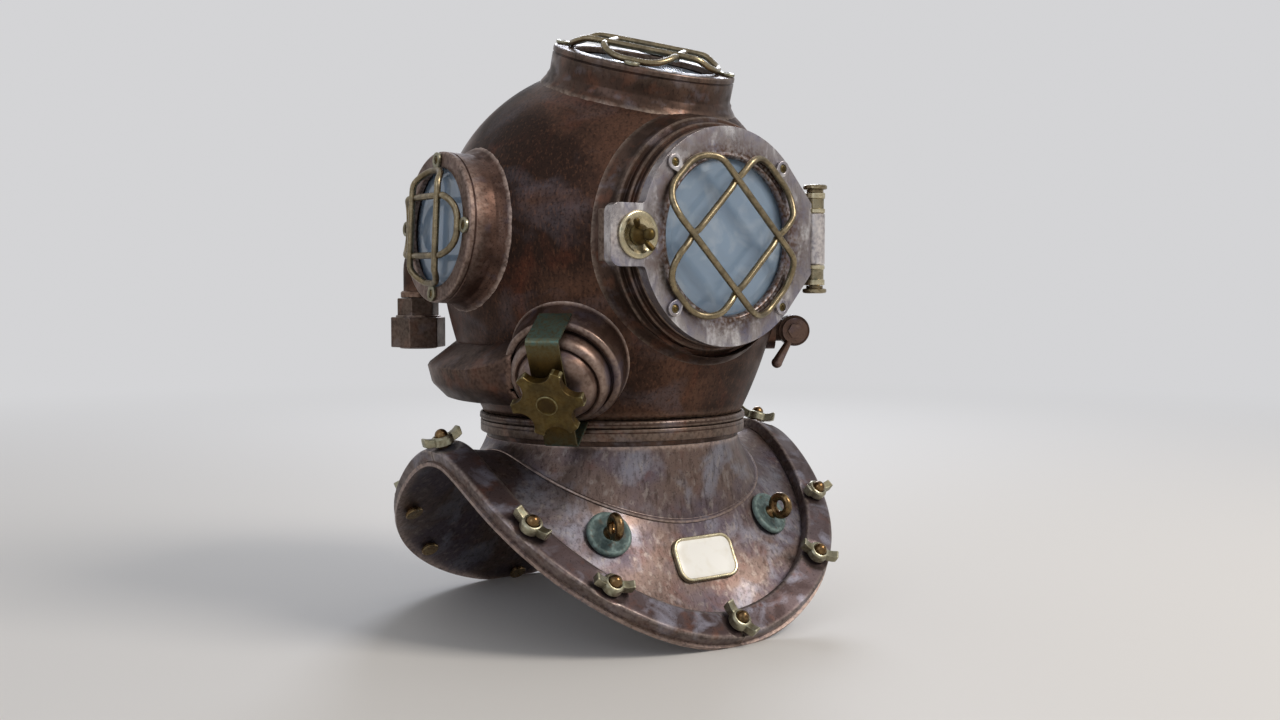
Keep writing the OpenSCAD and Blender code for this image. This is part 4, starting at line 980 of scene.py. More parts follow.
class SubAssembly:
    """A group of pieces that is built together."""

    def build(self) -> None:
        """Models and dresses the group's pieces."""
        raise NotImplementedError


# The bonnet

# Clearance between neighbouring pieces, height of the bonnet's centre, and the level that marks
# the foot of a form that Bonnet.seat sets on the bonnet
GAP = 0.3
CENTRE_Z = 165.5
FOOT = -200.0


def facing(azimuth: float, tilt: float) -> Matrix:
    """Gives the frame whose z points out of the bonnet's centre.

    Args:
        azimuth: angle from the front, towards the wearer's left.
        tilt: angle above the horizon.

    Returns:
        The frame's matrix.
    """
    return moved(0, 0, CENTRE_Z) @ turned("Z", azimuth) @ turned("X", 90 - tilt)


@dataclass
class Bonnet(SubAssembly):
    """The round copper bonnet: a sphere that runs into a long curve down to the neck."""

    radius: float = 152.5
    centre_z: float = CENTRE_Z
    wall: float = 3.0
    turn: float = 6.0
    foot_r: float = 114.0
    foot_z: float = 17.5
    dent: float = 0.45
    snap: float = 3.7
    openings: list[tuple[Matrix, float]] = field(default_factory=list)

    def __post_init__(self) -> None:
        """Works out the long curve."""
        angle = radians(self.turn)
        turn_x = self.radius * cos(angle)
        self.turn_z = self.centre_z - self.radius * sin(angle)
        dx, dz = turn_x - self.foot_r, self.turn_z - self.foot_z
        lean = dx * cos(angle) - dz * sin(angle)
        self.skirt_r = (dx * dx + dz * dz) / (2 * lean)
        self.skirt_x = turn_x - self.skirt_r * cos(angle)
        self.skirt_z = self.turn_z + self.skirt_r * sin(angle)

    def radius_at(self, z: float) -> float:
        """Gives the outside radius at a height."""
        if z > self.turn_z:
            return sqrt(max(0.0, self.radius**2 - (z - self.centre_z) ** 2))
        return self.skirt_x + sqrt(self.skirt_r**2 - (self.skirt_z - z) ** 2)

    def reach(self, frame: Matrix, x: float, y: float) -> float:
        """Finds where the bonnet's surface lies along a frame's z.

        Args:
            frame: the frame, whose z points out of the bonnet.
            x: the place across the frame.
            y: the place up the frame.

        Returns:
            The surface's z in that frame.
        """
        low, high = -40.0, 170.0
        for _ in range(22):
            middle = (low + high) / 2
            point = frame @ Vector((x, y, middle))
            if hypot(point.x, point.y) < self.radius_at(point.z):
                low = middle
            else:
                high = middle
        return low

    def seat(self, form: Form, frame: Matrix) -> Form:
        """Sets the foot of a form on the bonnet.

        Args:
            form: a form in the frame's own coordinates, whose foot points have their height
                over the bonnet added to FOOT as their z.
            frame: the frame that it will be placed by.

        Returns:
            The form, with its foot on the surface.
        """

        def settle(point: Vector) -> Vector:
            """Drops a foot point to its height over the bonnet."""
            if point.z > FOOT / 2:
                return point
            return Vector((point.x, point.y, self.reach(frame, point.x, point.y) + point.z - FOOT))

        return form.shift(settle)

    def open_window(self, form: Form, frame: Matrix, radius: float) -> None:
        """Cuts a round opening in the sheet: points near its edge are drawn onto it.

        Args:
            form: the bonnet's sheet.
            frame: the opening's frame, with z outwards.
            radius: the opening's radius.
        """
        back = frame.inverted()
        inside = set()
        for vert in form.bm.verts:
            local = back @ vert.co
            out = hypot(local.x, local.y)
            if local.z < 0 or out > radius + self.snap:
                continue
            if out > radius - self.snap:
                x, y = local.x * radius / out, local.y * radius / out
                vert.co = frame @ Vector((x, y, self.reach(frame, x, y)))
            inside.add(vert)
        gone = [f for f in form.bm.faces if all(v in inside for v in f.verts)]
        bmesh.ops.delete(form.bm, geom=gone, context="FACES")

    def build(self) -> None:
        """Spins the sheet, opens its windows and dents it a little."""
        rows, caps = 30, 52
        heights = [self.foot_z + (self.turn_z - self.foot_z) * i / rows for i in range(rows)]
        profile = [(self.radius_at(z), z) for z in heights]
        profile += [(out, self.centre_z + up) for out, up in arc(self.radius, -self.turn, 90, caps)]
        form = Form().lathe(profile, steps=192)
        for frame, radius in self.openings:
            self.open_window(form, frame, radius)

        def beaten(point: Vector) -> Vector:
            """Presses a point in where the sheet has a shallow dent."""
            out = Vector((point.x, point.y, (point.z - self.centre_z) * 0.6)).normalized()
            depth = noise.noise(point * 0.011) + 0.4 * noise.noise(point * 0.03)
            return point + out * min(0.0, self.dent * (depth - 0.25))

        form.shift(beaten).dress(
            "bonnet_shell_spun", SPUN_COPPER, Body.BONNET, "bonnet_shell", wall=self.wall, flats=False
        )


@dataclass
class Window:
    """A round window: its collar, glass and guard of two crossed wire loops with four screws."""

    name: str
    frame: Matrix
    collar_r: float
    opening: float
    face: float
    guard_len: float
    guard_w: float
    corner: float
    eye_out: float
    guard_turn: float
    lip: float = 4.5
    rebate: float = 4.0
    glass_t: float = 8.0
    wire_r: float = 2.75
    round_end: float = 7.0
    rise: float = 14.0
    dip: float = 2.4
    eye_r: float = 6.4
    screw_r: float = 2.6

    def collar(self, bonnet: Bonnet) -> Form:
        """Spins the collar and sets its soldered foot on the bonnet.

        Args:
            bonnet: the bonnet that it stands on.

        Returns:
            The collar, placed.
        """
        r, face, inner = self.collar_r, self.face, self.opening
        ledge = face - self.lip - self.glass_t - 2 * GAP
        profile = [
            (inner, face - self.lip), (inner, face - 1.2), (inner + 0.4, face - 0.4), (inner + 1.2, face),
            *from_edge(
                r, face, (-2.4, 0), (-1.0, -0.3), (-0.2, -1.1), (0, -2.2), (0, -4.6), (-0.7, -5.2),
                (-0.7, -5.9), (0, -6.5),
            ),
            *from_edge(
                r, FOOT, (0, 8.5), (0.3, 6.8), (1.6, 5.6), (2.0, 3.4), (3.4, 2.2), (5.6, 0.9), (7.4, -1.6),
            ),
            (inner + self.rebate + 2, FOOT - 2.4), (inner - 3, FOOT - 2.4), (inner - 3, ledge),
            (inner + self.rebate, ledge), (inner + self.rebate, face - self.lip),
        ]
        form = bonnet.seat(Form().lathe(profile, steps=128), self.frame).place(self.frame)
        back = self.frame.inverted()

        def soldered(point: Vector) -> Vector:
            """Makes the foot's bead of solder lumpy."""
            local = back @ point
            out = hypot(local.x, local.y)
            if out < r + 0.2 or local.z > face - 8:
                return point
            lumps = noise.noise(point * 0.19) + 0.6 * noise.noise(point * 0.5)
            return point + (point - Vector((0, 0, CENTRE_Z))).normalized() * lumps * 0.7

        return form.shift(soldered)

    def glass(self) -> Form:
        """Makes the glass: thick, with a wide bevel and a polished edge.

        Returns:
            The glass, placed.
        """
        r, front = self.opening + self.rebate - GAP, self.face - self.lip - GAP
        profile = [
            (0, front - self.glass_t), (r - 1, front - self.glass_t), (r, front - self.glass_t + 1),
            (r, front - 2.9), (r - 0.4, front - 2.5), (r - 11, front - 0.2), (r - 11.8, front), (0, front),
        ]
        return Form().lathe(profile, steps=128).place(self.frame)

    def loop_path(self, drop: float) -> list[Vector]:
        """Lays out one loop of wire along y, its ends bent down to the face.

        Args:
            drop: how far its straight bars lie below the guard's top.

        Returns:
            The points of its centreline, over the window's face.
        """
        low, high = self.wire_r + GAP, self.rise - self.wire_r - drop
        bend = asin((high - low) / self.corner)
        straight = self.guard_len - self.corner * cos(bend)
        flat_len = straight + self.corner
        radius = self.corner + self.round_end
        outline = []
        for quarter, (sx, sy) in enumerate(((1, 1), (-1, 1), (-1, -1), (1, -1))):
            centre = Vector((sx * (self.guard_w - radius), sy * (flat_len - radius)))
            outline += [centre + Vector(p) for p in arc(radius, 90 * quarter, 90 * quarter + 90, 12)]
        points = []
        for i, here in enumerate(outline):
            points.append(here)
            there = outline[(i + 1) % len(outline)]
            gap = (there - here).length
            if gap > 6:
                count = int(gap / 3)
                points += [here.lerp(there, j / count) for j in range(1, count)]
        soft = 3.0
        path = []
        for x, y in points:
            over = abs(y) - straight
            run = (over + sqrt(over * over + soft * soft)) / 2
            inward = run * (1 - cos(bend))
            path.append(Vector((x, copysign(abs(y) - inward, y), high - run * sin(bend))))
        return path

    def guard(self) -> Form:
        """Bends the two loops and crosses them, one over the other.

        Returns:
            The loops, placed.
        """
        form = Form()
        for cross in (0, 1):
            path = self.loop_path(0.7 * cross)
            if cross:
                for point in path:
                    near = min(abs(point.y - self.guard_w), abs(point.y + self.guard_w))
                    point.z -= self.dip * exp(-((near / 5.5) ** 2))
            turn = turned("Z", self.guard_turn + 90 * cross)
            form.join(Form().wire(path, self.wire_r, sides=14, closed=True), turn)
        return form.place(self.frame @ moved(0, 0, self.face))

    def eyelets(self) -> Form:
        """Cuts the four teardrop eyelets that run out of the loops' ends.

        Returns:
            The eyelets, placed.
        """
        r, hole, tail = self.eye_r, self.screw_r + 0.9, self.guard_len - self.eye_out - 1.0
        drop = [(x, y) for y, x in arc(r, -110, 110, 22)]
        drop += [(2.6, tail), (-2.6, tail)]
        form = Form()
        for step in range(4):
            spot = turned("Z", self.guard_turn + 90 * step) @ moved(0, self.eye_out, GAP / 2)
            eyelet = Form().ring_slab(drop, circle(28, hole), 2.6)
            form.join(eyelet.soften(0.7, segments=3, angle=40), spot)
        return form.place(self.frame @ moved(0, 0, self.face))

    def screws(self) -> Form:
        """Turns the four slotted screws in the eyelets.

        Returns:
            The screws, placed.
        """
        form = Form()
        r = self.screw_r
        base = [(0, -5.0), (r, -5.0), (r, 0.4), (r * 1.25, 0.5), (r * 1.25, 1.6), (0, 1.6)]
        cap = [(0, 1.4), (r * 1.24, 1.4), (r * 1.2, 2.1), (r * 0.9, 2.8), (r * 0.5, 3.1), (0, 3.2)]
        for step in range(4):
            spot = turned("Z", self.guard_turn + 90 * step) @ moved(0, self.eye_out, 0)
            spot = spot @ turned("Z", 31 + 67 * step)
            form.join(Form().lathe(base, steps=28), spot)
            for half in (0, 180):
                side = Form().lathe(cap, steps=28).cut((0.5, 0, 0), (-1, 0, 0))
                form.join(side, spot @ turned("Z", half))
        return form.place(self.frame @ moved(0, 0, self.face))

    def fit(self, body: Body, eyelet_finish: Finish) -> None:
        """Dresses the glass, the guard and its eyelets.

        Args:
            body: the body that they ride on.
            eyelet_finish: the eyelets' finish.
        """
        self.glass().dress(f"{self.name}_plate_glass", WINDOW_GLASS, body, f"{self.name}_glass")
        self.guard().dress(f"{self.name}_guard_wires", WIRE_BRASS, body, f"{self.name}_guard")
        self.eyelets().dress(f"{self.name}_guard_eyelets", eyelet_finish, body)


@dataclass
class FixedWindows(SubAssembly):
    """The two side windows and the top window, with their shared screws."""

    bonnet: Bonnet
    side_azimuth: float = 94.5
    side_tilt: float = 3.0
    top_lean: float = 17.0

    def __post_init__(self) -> None:
        """Sets the windows out and opens the bonnet for them."""
        self.windows = [
            Window(
                f"{side.name.lower()}_window", facing(side.value * self.side_azimuth, self.side_tilt),
                collar_r=61.8, opening=48.7, face=170.3, guard_len=46, guard_w=24, corner=13,
                eye_out=54.6, guard_turn=0,
            )
            for side in Side
        ]
        self.windows.append(
            Window(
                "top_window", facing(0, 90 - self.top_lean), collar_r=78.2, opening=60, face=160,
                guard_len=62.5, guard_w=30, corner=17, eye_out=71.5, guard_turn=45,
            )
        )
        for window in self.windows:
            self.bonnet.openings.append((window.frame, window.opening + window.rebate))

    def build(self) -> None:
        """Builds each window's collar, glass and guard, and all the screws as one piece."""
        screws = Form()
        for window in self.windows:
            label = window.name
            finish = BROWNED_GUNMETAL if label == "top_window" else COLLAR_METAL
            window.collar(self.bonnet).dress(f"{label}_collar", finish, Body.BONNET, f"{label}_frame")
            window.fit(Body.BONNET, NUT_BRASS)
            screws.join(window.screws())
        screws.dress("window_guard_screw_heads", OLIVE_BRASS, Body.BONNET, "window_guard_screws")


@dataclass
class FrontDoor(SubAssembly):
    """The hinged front window: its frame on the bonnet, the door, its hinge and its latch."""

    bonnet: Bonnet
    door_r: float = 87.7
    opening: float = 62.7
    face: float = 156.6
    door_t: float = 9.0
    hinge_x: float = 98.0
    pin_r: float = 4.5
    knuckle_r: float = 8.4
    knuckle_half: float = 21.4
    frame_knuckle: float = 17.0
    latch_x: float = 91.7
    tab_reach: float = 25.0
    tab_half: float = 24.0
    tab_corner: float = 8.0
    washer_r: float = 18.6
    frame_open: float = 76.0
    frame_step: float = 88.0
    frame_base: float = 97.0
    lug_depth: float = 13.0

    def __post_init__(self) -> None:
        """Works out the levels along the door's axis and opens the bonnet."""
        self.front = facing(0, 0)
        self.frame_face = self.face - self.door_t - 0.6
        self.hinge_out = self.face - self.door_t / 3
        self.window = Window(
            "door", self.front, collar_r=self.door_r, opening=self.opening, face=self.face,
            guard_len=70.5, guard_w=31.5, corner=17, eye_out=80, guard_turn=45,
        )
        self.bonnet.openings.append((self.front, self.frame_open))

    def outline(self) -> Profile:
        """Draws the door's edge: a circle with the latch tab and the hinge lug.

        Returns:
            Its points, the long way round from the hinge.
        """
        reach = hypot(self.hinge_x, self.knuckle_half)
        touch = atan2(self.knuckle_half, self.hinge_x) + acos(self.door_r / reach)
        join = pi - asin((self.tab_half + 3) / self.door_r)
        upper = [(self.hinge_x, 0.0), (self.hinge_x, self.knuckle_half)]
        steps = 48
        for i in range(steps + 1):
            angle = touch + (join - touch) * i / steps
            upper.append((self.door_r * cos(angle), self.door_r * sin(angle)))
        far, corner = self.latch_x + self.tab_reach, self.tab_corner
        root = self.door_r * cos(join)
        upper += [(root - 1.2, self.tab_half + 0.9), (root - 3.4, self.tab_half)]
        for out, up in arc(corner, 90, 180, 8):
            upper.append((-far + corner + out, self.tab_half - corner + up))
        upper.append((-far, 0.0))
        return upper + [(x, -y) for x, y in reversed(upper[1:-1])]

    def door(self) -> Form:
        """Makes the door: the plate with its rounded edges, the opening's rebate and the knuckle.

        Returns:
            The door, placed.
        """
        back = self.face - self.door_t
        edge = self.opening + 4.6
        form = Form().ring_slab(self.outline(), circle(96, edge), self.door_t)
        form.soften(1.3, segments=3, angle=50).place(moved(0, 0, back))
        lining = [
            (edge + 0.6, self.face - 0.25),
            *from_edge(
                self.opening, self.face, (3.4, -0.1), (2.4, 0.15), (1.2, -0.5), (0.2, -2.2), (0, -3.4),
                (0, -4.5), (4.0, -4.5),
            ),
            (self.opening + 4.0, back + 0.2), (edge + 0.6, back + 0.2),
        ]
        form.join(Form().lathe(lining, steps=128))
        bore = self.pin_r + 0.1
        knuckle = [
            (bore, -self.knuckle_half), *from_edge(self.knuckle_r, -self.knuckle_half, (-0.8, 0), (0, 0.8)),
            *from_edge(self.knuckle_r, self.knuckle_half, (0, -0.8), (-0.8, 0)), (bore, self.knuckle_half),
        ]
        hinge = moved(self.hinge_x, 0, self.hinge_out) @ turned("X", 90)
        form.join(Form().lathe(knuckle, steps=48), hinge)
        form.stain("patina", lambda p: max(0.0, min(1.0, 1.1 - (hypot(p.x, p.y) - edge) / 12)))
        return form.place(self.front)

    def seat_frame(self) -> Form:
        """Makes the stepped frame that the door shuts on, with the latch lug and the knuckles' roots.

        Returns:
            The frame, placed.
        """
        top, r, base = self.frame_face, self.frame_step, self.frame_base
        profile = [
            (self.frame_open, top - 1), (self.frame_open + 1, top), (78.3, top), (78.3, top - 1.8),
            (83.3, top - 1.8), (83.3, top),
            *from_edge(
                r, top, (-1.2, 0), (0, -1.2), (0, -5.4), (0.6, -6), (2.8, -6), (4, -7.2), (4, -12.4),
                (4.6, -13),
            ),
            (base - 1.2, top - 13), (base, top - 14.2),
            *from_edge(base, FOOT, (0, 7.5), (0.6, 5.6), (2.2, 4.2), (3.0, 2.2), (5.6, 0.8), (7.2, -1.2)),
            (self.frame_open + 4, FOOT - 2), (self.frame_open, FOOT - 2),
        ]
        form = self.bonnet.seat(Form().lathe(profile, steps=144), self.front)
        far = self.latch_x + self.tab_reach - 4
        half = self.tab_half - 4
        lug = Form().slab(
            [(-far, -half), (-self.frame_step + 6, -half), (-self.frame_step + 6, half), (-far, half)],
            self.lug_depth,
        )
        form.join(lug.soften(1.2), moved(0, 0, top - self.lug_depth))
        for side in (-1, 1):
            middle = side * (self.knuckle_half + GAP + self.frame_knuckle / 2)
            low, high = middle - self.frame_knuckle / 2, middle + self.frame_knuckle / 2
            end = self.hinge_x + self.knuckle_r - 2.4
            root = Form().slab([(80, low), (end, low), (end, high), (80, high)], 20)
            form.join(root.soften(1.0), moved(0, 0, top - 22))
        return form.place(self.front)

    def knuckles(self) -> Form:
        """Turns the frame's two brass knuckles, banded at their ends.

        Returns:
            The knuckles, placed.
        """
        form = Form()
        r, h = self.knuckle_r, self.frame_knuckle
        profile = [
            (self.pin_r + 0.1, 0), (r - 0.6, 0), (r, 0.6), (r, 3.2), (r - 0.9, 3.9), (r - 0.9, h - 5.2),
            (r, h - 4.5), (r, h - 0.6), (r - 0.6, h), (self.pin_r + 0.1, h),
        ]
        for side in (1, -1):
            stand = moved(self.hinge_x, side * (self.knuckle_half + GAP), self.hinge_out)
            form.join(Form().lathe(profile, steps=48), stand @ turned("X", -90 * side))
        return form.place(self.front)

    def pin(self) -> Form:
        """Turns the hinge pin with its two flanged heads.

        Returns:
            The pin, placed.
        """
        head = self.knuckle_half + GAP + self.frame_knuckle + GAP
        half = [
            (self.pin_r, 0), (self.pin_r, head),
            *from_edge(
                0, head, (7.0, 0), (7.0, 2.2), (9.4, 2.6), (10, 3.2), (10, 5.3), (9.2, 6.1), (6.0, 6.5),
                (0, 6.5),
            ),
        ]
        profile = [(r, -z) for r, z in reversed(half)] + half[1:]
        form = Form().lathe(profile, steps=48)
        return form.place(self.front @ moved(self.hinge_x, 0, self.hinge_out) @ turned("X", 90))

    def washer(self) -> Form:
        """Turns the dished washer under the latch screw.

        Returns:
            The washer, placed.
        """
        r = self.washer_r
        profile = [
            (5.6, 0), (r - 0.6, 0), (r, 0.6), (r, 1.6), (r - 0.6, 2.4), (r - 1.6, 2.8), (r - 3.8, 2.8),
            (r - 4.8, 2.5), (r - 6.6, 1.2), (5.6, 1.2),
        ]
        form = Form().lathe(profile, steps=72)
        return form.place(self.front @ moved(-self.latch_x, 0, self.face + GAP))

    def latch(self) -> Form:
        """Makes the latch screw: a cone with two small wings and a ball on a waist.

        Returns:
            The screw, placed.
        """
        base = 2 * GAP + 1.2
        profile = [
            (0, -17.6), (4, -17.6), (5, -16.6),
            *from_edge(
                0, base, (5, 0), (8.2, 0), (8.5, 0.5), (7.6, 3.4), (5.6, 6.0), (4.2, 7.4), (3.6, 9.4),
                (3.8, 9.8), (4.7, 10.9), (5.0, 12.4), (4.6, 14.4), (3.2, 16.2), (1.6, 16.9), (0, 17.0),
            ),
        ]
        form = Form().lathe(profile, steps=48)
        wing = [(3.0, 1.0), (12.6, 3.4), (14.5, 5.4), (14.3, 8.6), (12.2, 9.0), (7.5, 6.2), (3.0, 6.6)]
        form.wings(wing, 3.2, moved(0, 0, base) @ turned("Z", 125))
        return form.place(self.front @ moved(-self.latch_x, 0, self.face))

    def build(self) -> None:
        """Builds the frame's pieces on the bonnet and the door's on the door."""
        self.seat_frame().dress("door_frame_cast", BROWNED_GUNMETAL, Body.BONNET, "door_frame")
        self.knuckles().dress("door_frame_knuckles", HANDLED_BRASS, Body.BONNET)
        self.pin().dress("hinge_pin_turned", WIRE_BRASS, Body.BONNET, "hinge_pin")
        self.door().dress("door_plate_cast", RUBBED_GUNMETAL, Body.DOOR, "door_plate")
        self.window.fit(Body.DOOR, RUBBED_GUNMETAL)
        self.window.screws().dress("door_guard_screw_heads", OLIVE_BRASS, Body.DOOR, "door_guard_screws")
        self.washer().dress("latch_washer_dished", HANDLED_BRASS, Body.DOOR, "latch_washer")
        self.latch().dress("latch_screw_winged", OLIVE_BRASS, Body.LATCH, "latch_screw")


@dataclass
class ExhaustValve(SubAssembly):
    """The exhaust valve low on the wearer's right cheek, with its bridge, wheel and duct."""

    bonnet: Bonnet
    azimuth: float = 52.2
    dip: float = 30.0
    out: float = 138.3
    height: float = 61.7
    base_r: float = 47.6
    wheel_face: float = 53.0
    wheel_r: float = 30.0
    wheel_t: float = 8.0
    horns: int = 6
    notch_r: float = 11.5
    boss_r: float = 8.2
    bridge_w: float = 27.0
    bridge_t: float = 2.4
    crown_z: float = 38.0
    spindle_r: float = 5.0
    duct_r: float = 162.5
    duct_low: float = 30.0
    duct_high: float = 79.0
    duct_end: float = 136.0

    def __post_init__(self) -> None:
        """Sets the valve's frame."""
        foot = turned("Z", -self.azimuth) @ moved(0, -self.out, self.height)
        self.frame = foot @ turned("X", 90 + self.dip)

    def valve_body(self) -> Form:
        """Spins the body: a base ring, a rounded inner ring and a dome.

        Returns:
            The body, placed.
        """
        r = self.base_r
        profile = [
            (24, FOOT - 2), (r + 2.4, FOOT - 0.6), (r + 1.2, FOOT + 1.0), (r, FOOT + 2.6),
            *from_edge(
                r, 0, (0, 5.8), (-0.5, 7.4), (-1.8, 8.6), (-3.4, 9.0), (-5.6, 8.6), (-6.6, 7.4),
                (-7.6, 7.6), (-7.8, 13.5), (-8.0, 17.0), (-9.0, 20.2), (-11.0, 22.6), (-13.2, 23.2),
                (-15.0, 22.4), (-15.6, 23.6), (-17.4, 28.0), (-20.6, 31.4), (-27.6, 33.7),
            ),
            (9, 34.5), (5.1, 34.5), (5.1, 30.5), (22, 30.5), (35, 20), (35, 0), (24, -2),
        ]
        return self.bonnet.seat(Form().lathe(profile, steps=128), self.frame).place(self.frame)

    def bridge(self) -> Form:
        """Bends the strap that carries the handwheel over the valve.

        Returns:
            The bridge, placed.
        """
        inside = self.base_r + GAP
        t, crown, soft = self.bridge_t, self.crown_z, 3.6
        centre = []
        for sign in (1, -1):
            x = inside + t / 2
            side = [(sign * x, -1.0 if sign > 0 else 5.0), (sign * x, crown - soft - 8)]
            for out, up in arc(soft, 0, 90, 6):
                side.append((sign * (x - soft + out), crown + t / 2 - soft + up))
            centre.append(side)
        line = centre[0] + [(x, crown + t / 2) for x in (30, 20, 12, 4, -4, -12, -20, -30)]
        line += list(reversed(centre[1]))
        half = t / 2
        outer, inner = [], []
        for i, (x, z) in enumerate(line):
            ax, az = line[max(i - 1, 0)]
            bx, bz = line[min(i + 1, len(line) - 1)]
            along = Vector((bx - ax, bz - az)).normalized()
            normal = Vector((along.y, -along.x))
            outer.append((x - normal.x * half, z - normal.y * half))
            inner.append((x + normal.x * half, z + normal.y * half))
        form = Form().slab(outer + inner[::-1], self.bridge_w)
        form.place(moved(-self.bridge_w / 2, 0, 0) @ turned("Z", 90) @ turned("X", 90))
        form.soften(0.7, angle=60)
        boss = [(6.5, 0), (11.5, 0), (11.5, 1.2), (10.4, 2.0), (6.5, 2.0)]
        form.join(Form().lathe(boss, steps=48), moved(0, 0, crown + t - 0.4))
        form.stain("patina", lambda p: max(0.0, min(1.0, (abs(p.y) - 44.5) / 3)))
        return form.place(self.frame)

    def handwheel(self) -> Form:
        """Mills the six-horned wheel with its ring boss and spindle.

        Returns:
            The wheel, placed.
        """
        pitch = FULL_TURN / self.horns
        lean = radians(8)
        centre = self.wheel_r + 2
        outline = []
        steps = 216
        for i in range(steps):
            angle = FULL_TURN * i / steps
            away = (angle - lean) % pitch - pitch / 2
            span = centre * sin(away)
            reach = self.wheel_r
            if abs(span) < self.notch_r:
                reach = min(reach, centre * cos(away) - sqrt(self.notch_r**2 - span**2))
            outline.append((reach * cos(angle), reach * sin(angle)))
        form = Form().slab(outline, self.wheel_t).soften(0.9, angle=50)
        form.place(moved(0, 0, self.wheel_face - self.wheel_t))
        face, hub, collar = self.wheel_face, self.boss_r, self.crown_z + self.bridge_t + 0.4
        ring = [(0, face - 0.5), (hub + 0.4, face - 0.5), (hub + 0.4, face + 0.5), (hub, face + 1.0)]
        ring += [(hub - 0.9, face + 1.0), (hub - 1.3, face + 0.3), (0, face + 0.3)]
        form.join(Form().lathe(ring, steps=64))
        back = face - self.wheel_t + 0.5
        stem = [(0, 31), (self.spindle_r, 31), (self.spindle_r, collar), (hub + 1, collar)]
        stem += [(hub + 1, back), (0, back)]
        form.join(Form().lathe(stem, steps=48))
        return form.place(self.frame)

    def duct(self) -> Form:
        """Wraps the duct's sheet along the bonnet from the valve to its open end.

        Returns:
            The duct's outer sheet.
        """
        start = self.azimuth + 4

        def section(azimuth: float) -> Profile:
            """Gives the duct's section at an angle, with eased corners."""
            up = 17 * max(0.0, 1 - (azimuth - start) / 34) ** 2
            high, shoulder = self.duct_high + up, self.duct_high - 20 + up * 1.5
            corners = [
                (self.bonnet.radius_at(self.duct_low) - 1, self.duct_low),
                *from_edge(self.duct_r, self.duct_low, (-17, 0), (-4, 13)), (self.duct_r, shoulder),
                (self.bonnet.radius_at(high) - 1, high),
            ]
            eased = [corners[0]]
            for (ar, az), (br, bz) in zip(corners, corners[1:]):
                eased.append((ar * 0.92 + br * 0.08, az * 0.92 + bz * 0.08))
                eased.append((ar * 0.08 + br * 0.92, az * 0.08 + bz * 0.92))
            return eased + [corners[-1]]

        count = len(section(start)) - 1

        def surface(u: float, v: float) -> Vector:
            """Gives the sheet's point at its shares along the duct and round its section."""
            azimuth = start + (self.duct_end - start) * u
            r, z = section(azimuth)[round(v * count)]
            angle = -radians(azimuth)
            return Vector((r * sin(angle), -r * cos(angle), z))

        form = Form().skin(72, count, surface)
        keep = self.frame.inverted()
        edge = self.base_r - 4
        gone = [f for f in form.bm.faces if all(hypot(*(keep @ v.co).xy) < edge for v in f.verts)]
        bmesh.ops.delete(form.bm, geom=gone, context="FACES")
        return form

    def build(self) -> None:
        """Builds the valve's pieces."""
        self.valve_body().dress("exhaust_valve_body_cast", VALVE_METAL, Body.BONNET, "exhaust_valve_body")
        self.bridge().dress("exhaust_bridge_strap", OLIVE_BRASS, Body.BONNET, "exhaust_bridge")
        self.handwheel().dress("exhaust_handwheel_milled", OLIVE_BRASS, Body.WHEEL, "exhaust_handwheel")
        self.duct().dress(
            "exhaust_duct_sheet", DARK_COPPER, Body.BONNET, "exhaust_duct", wall=2.0, flats=False
        )


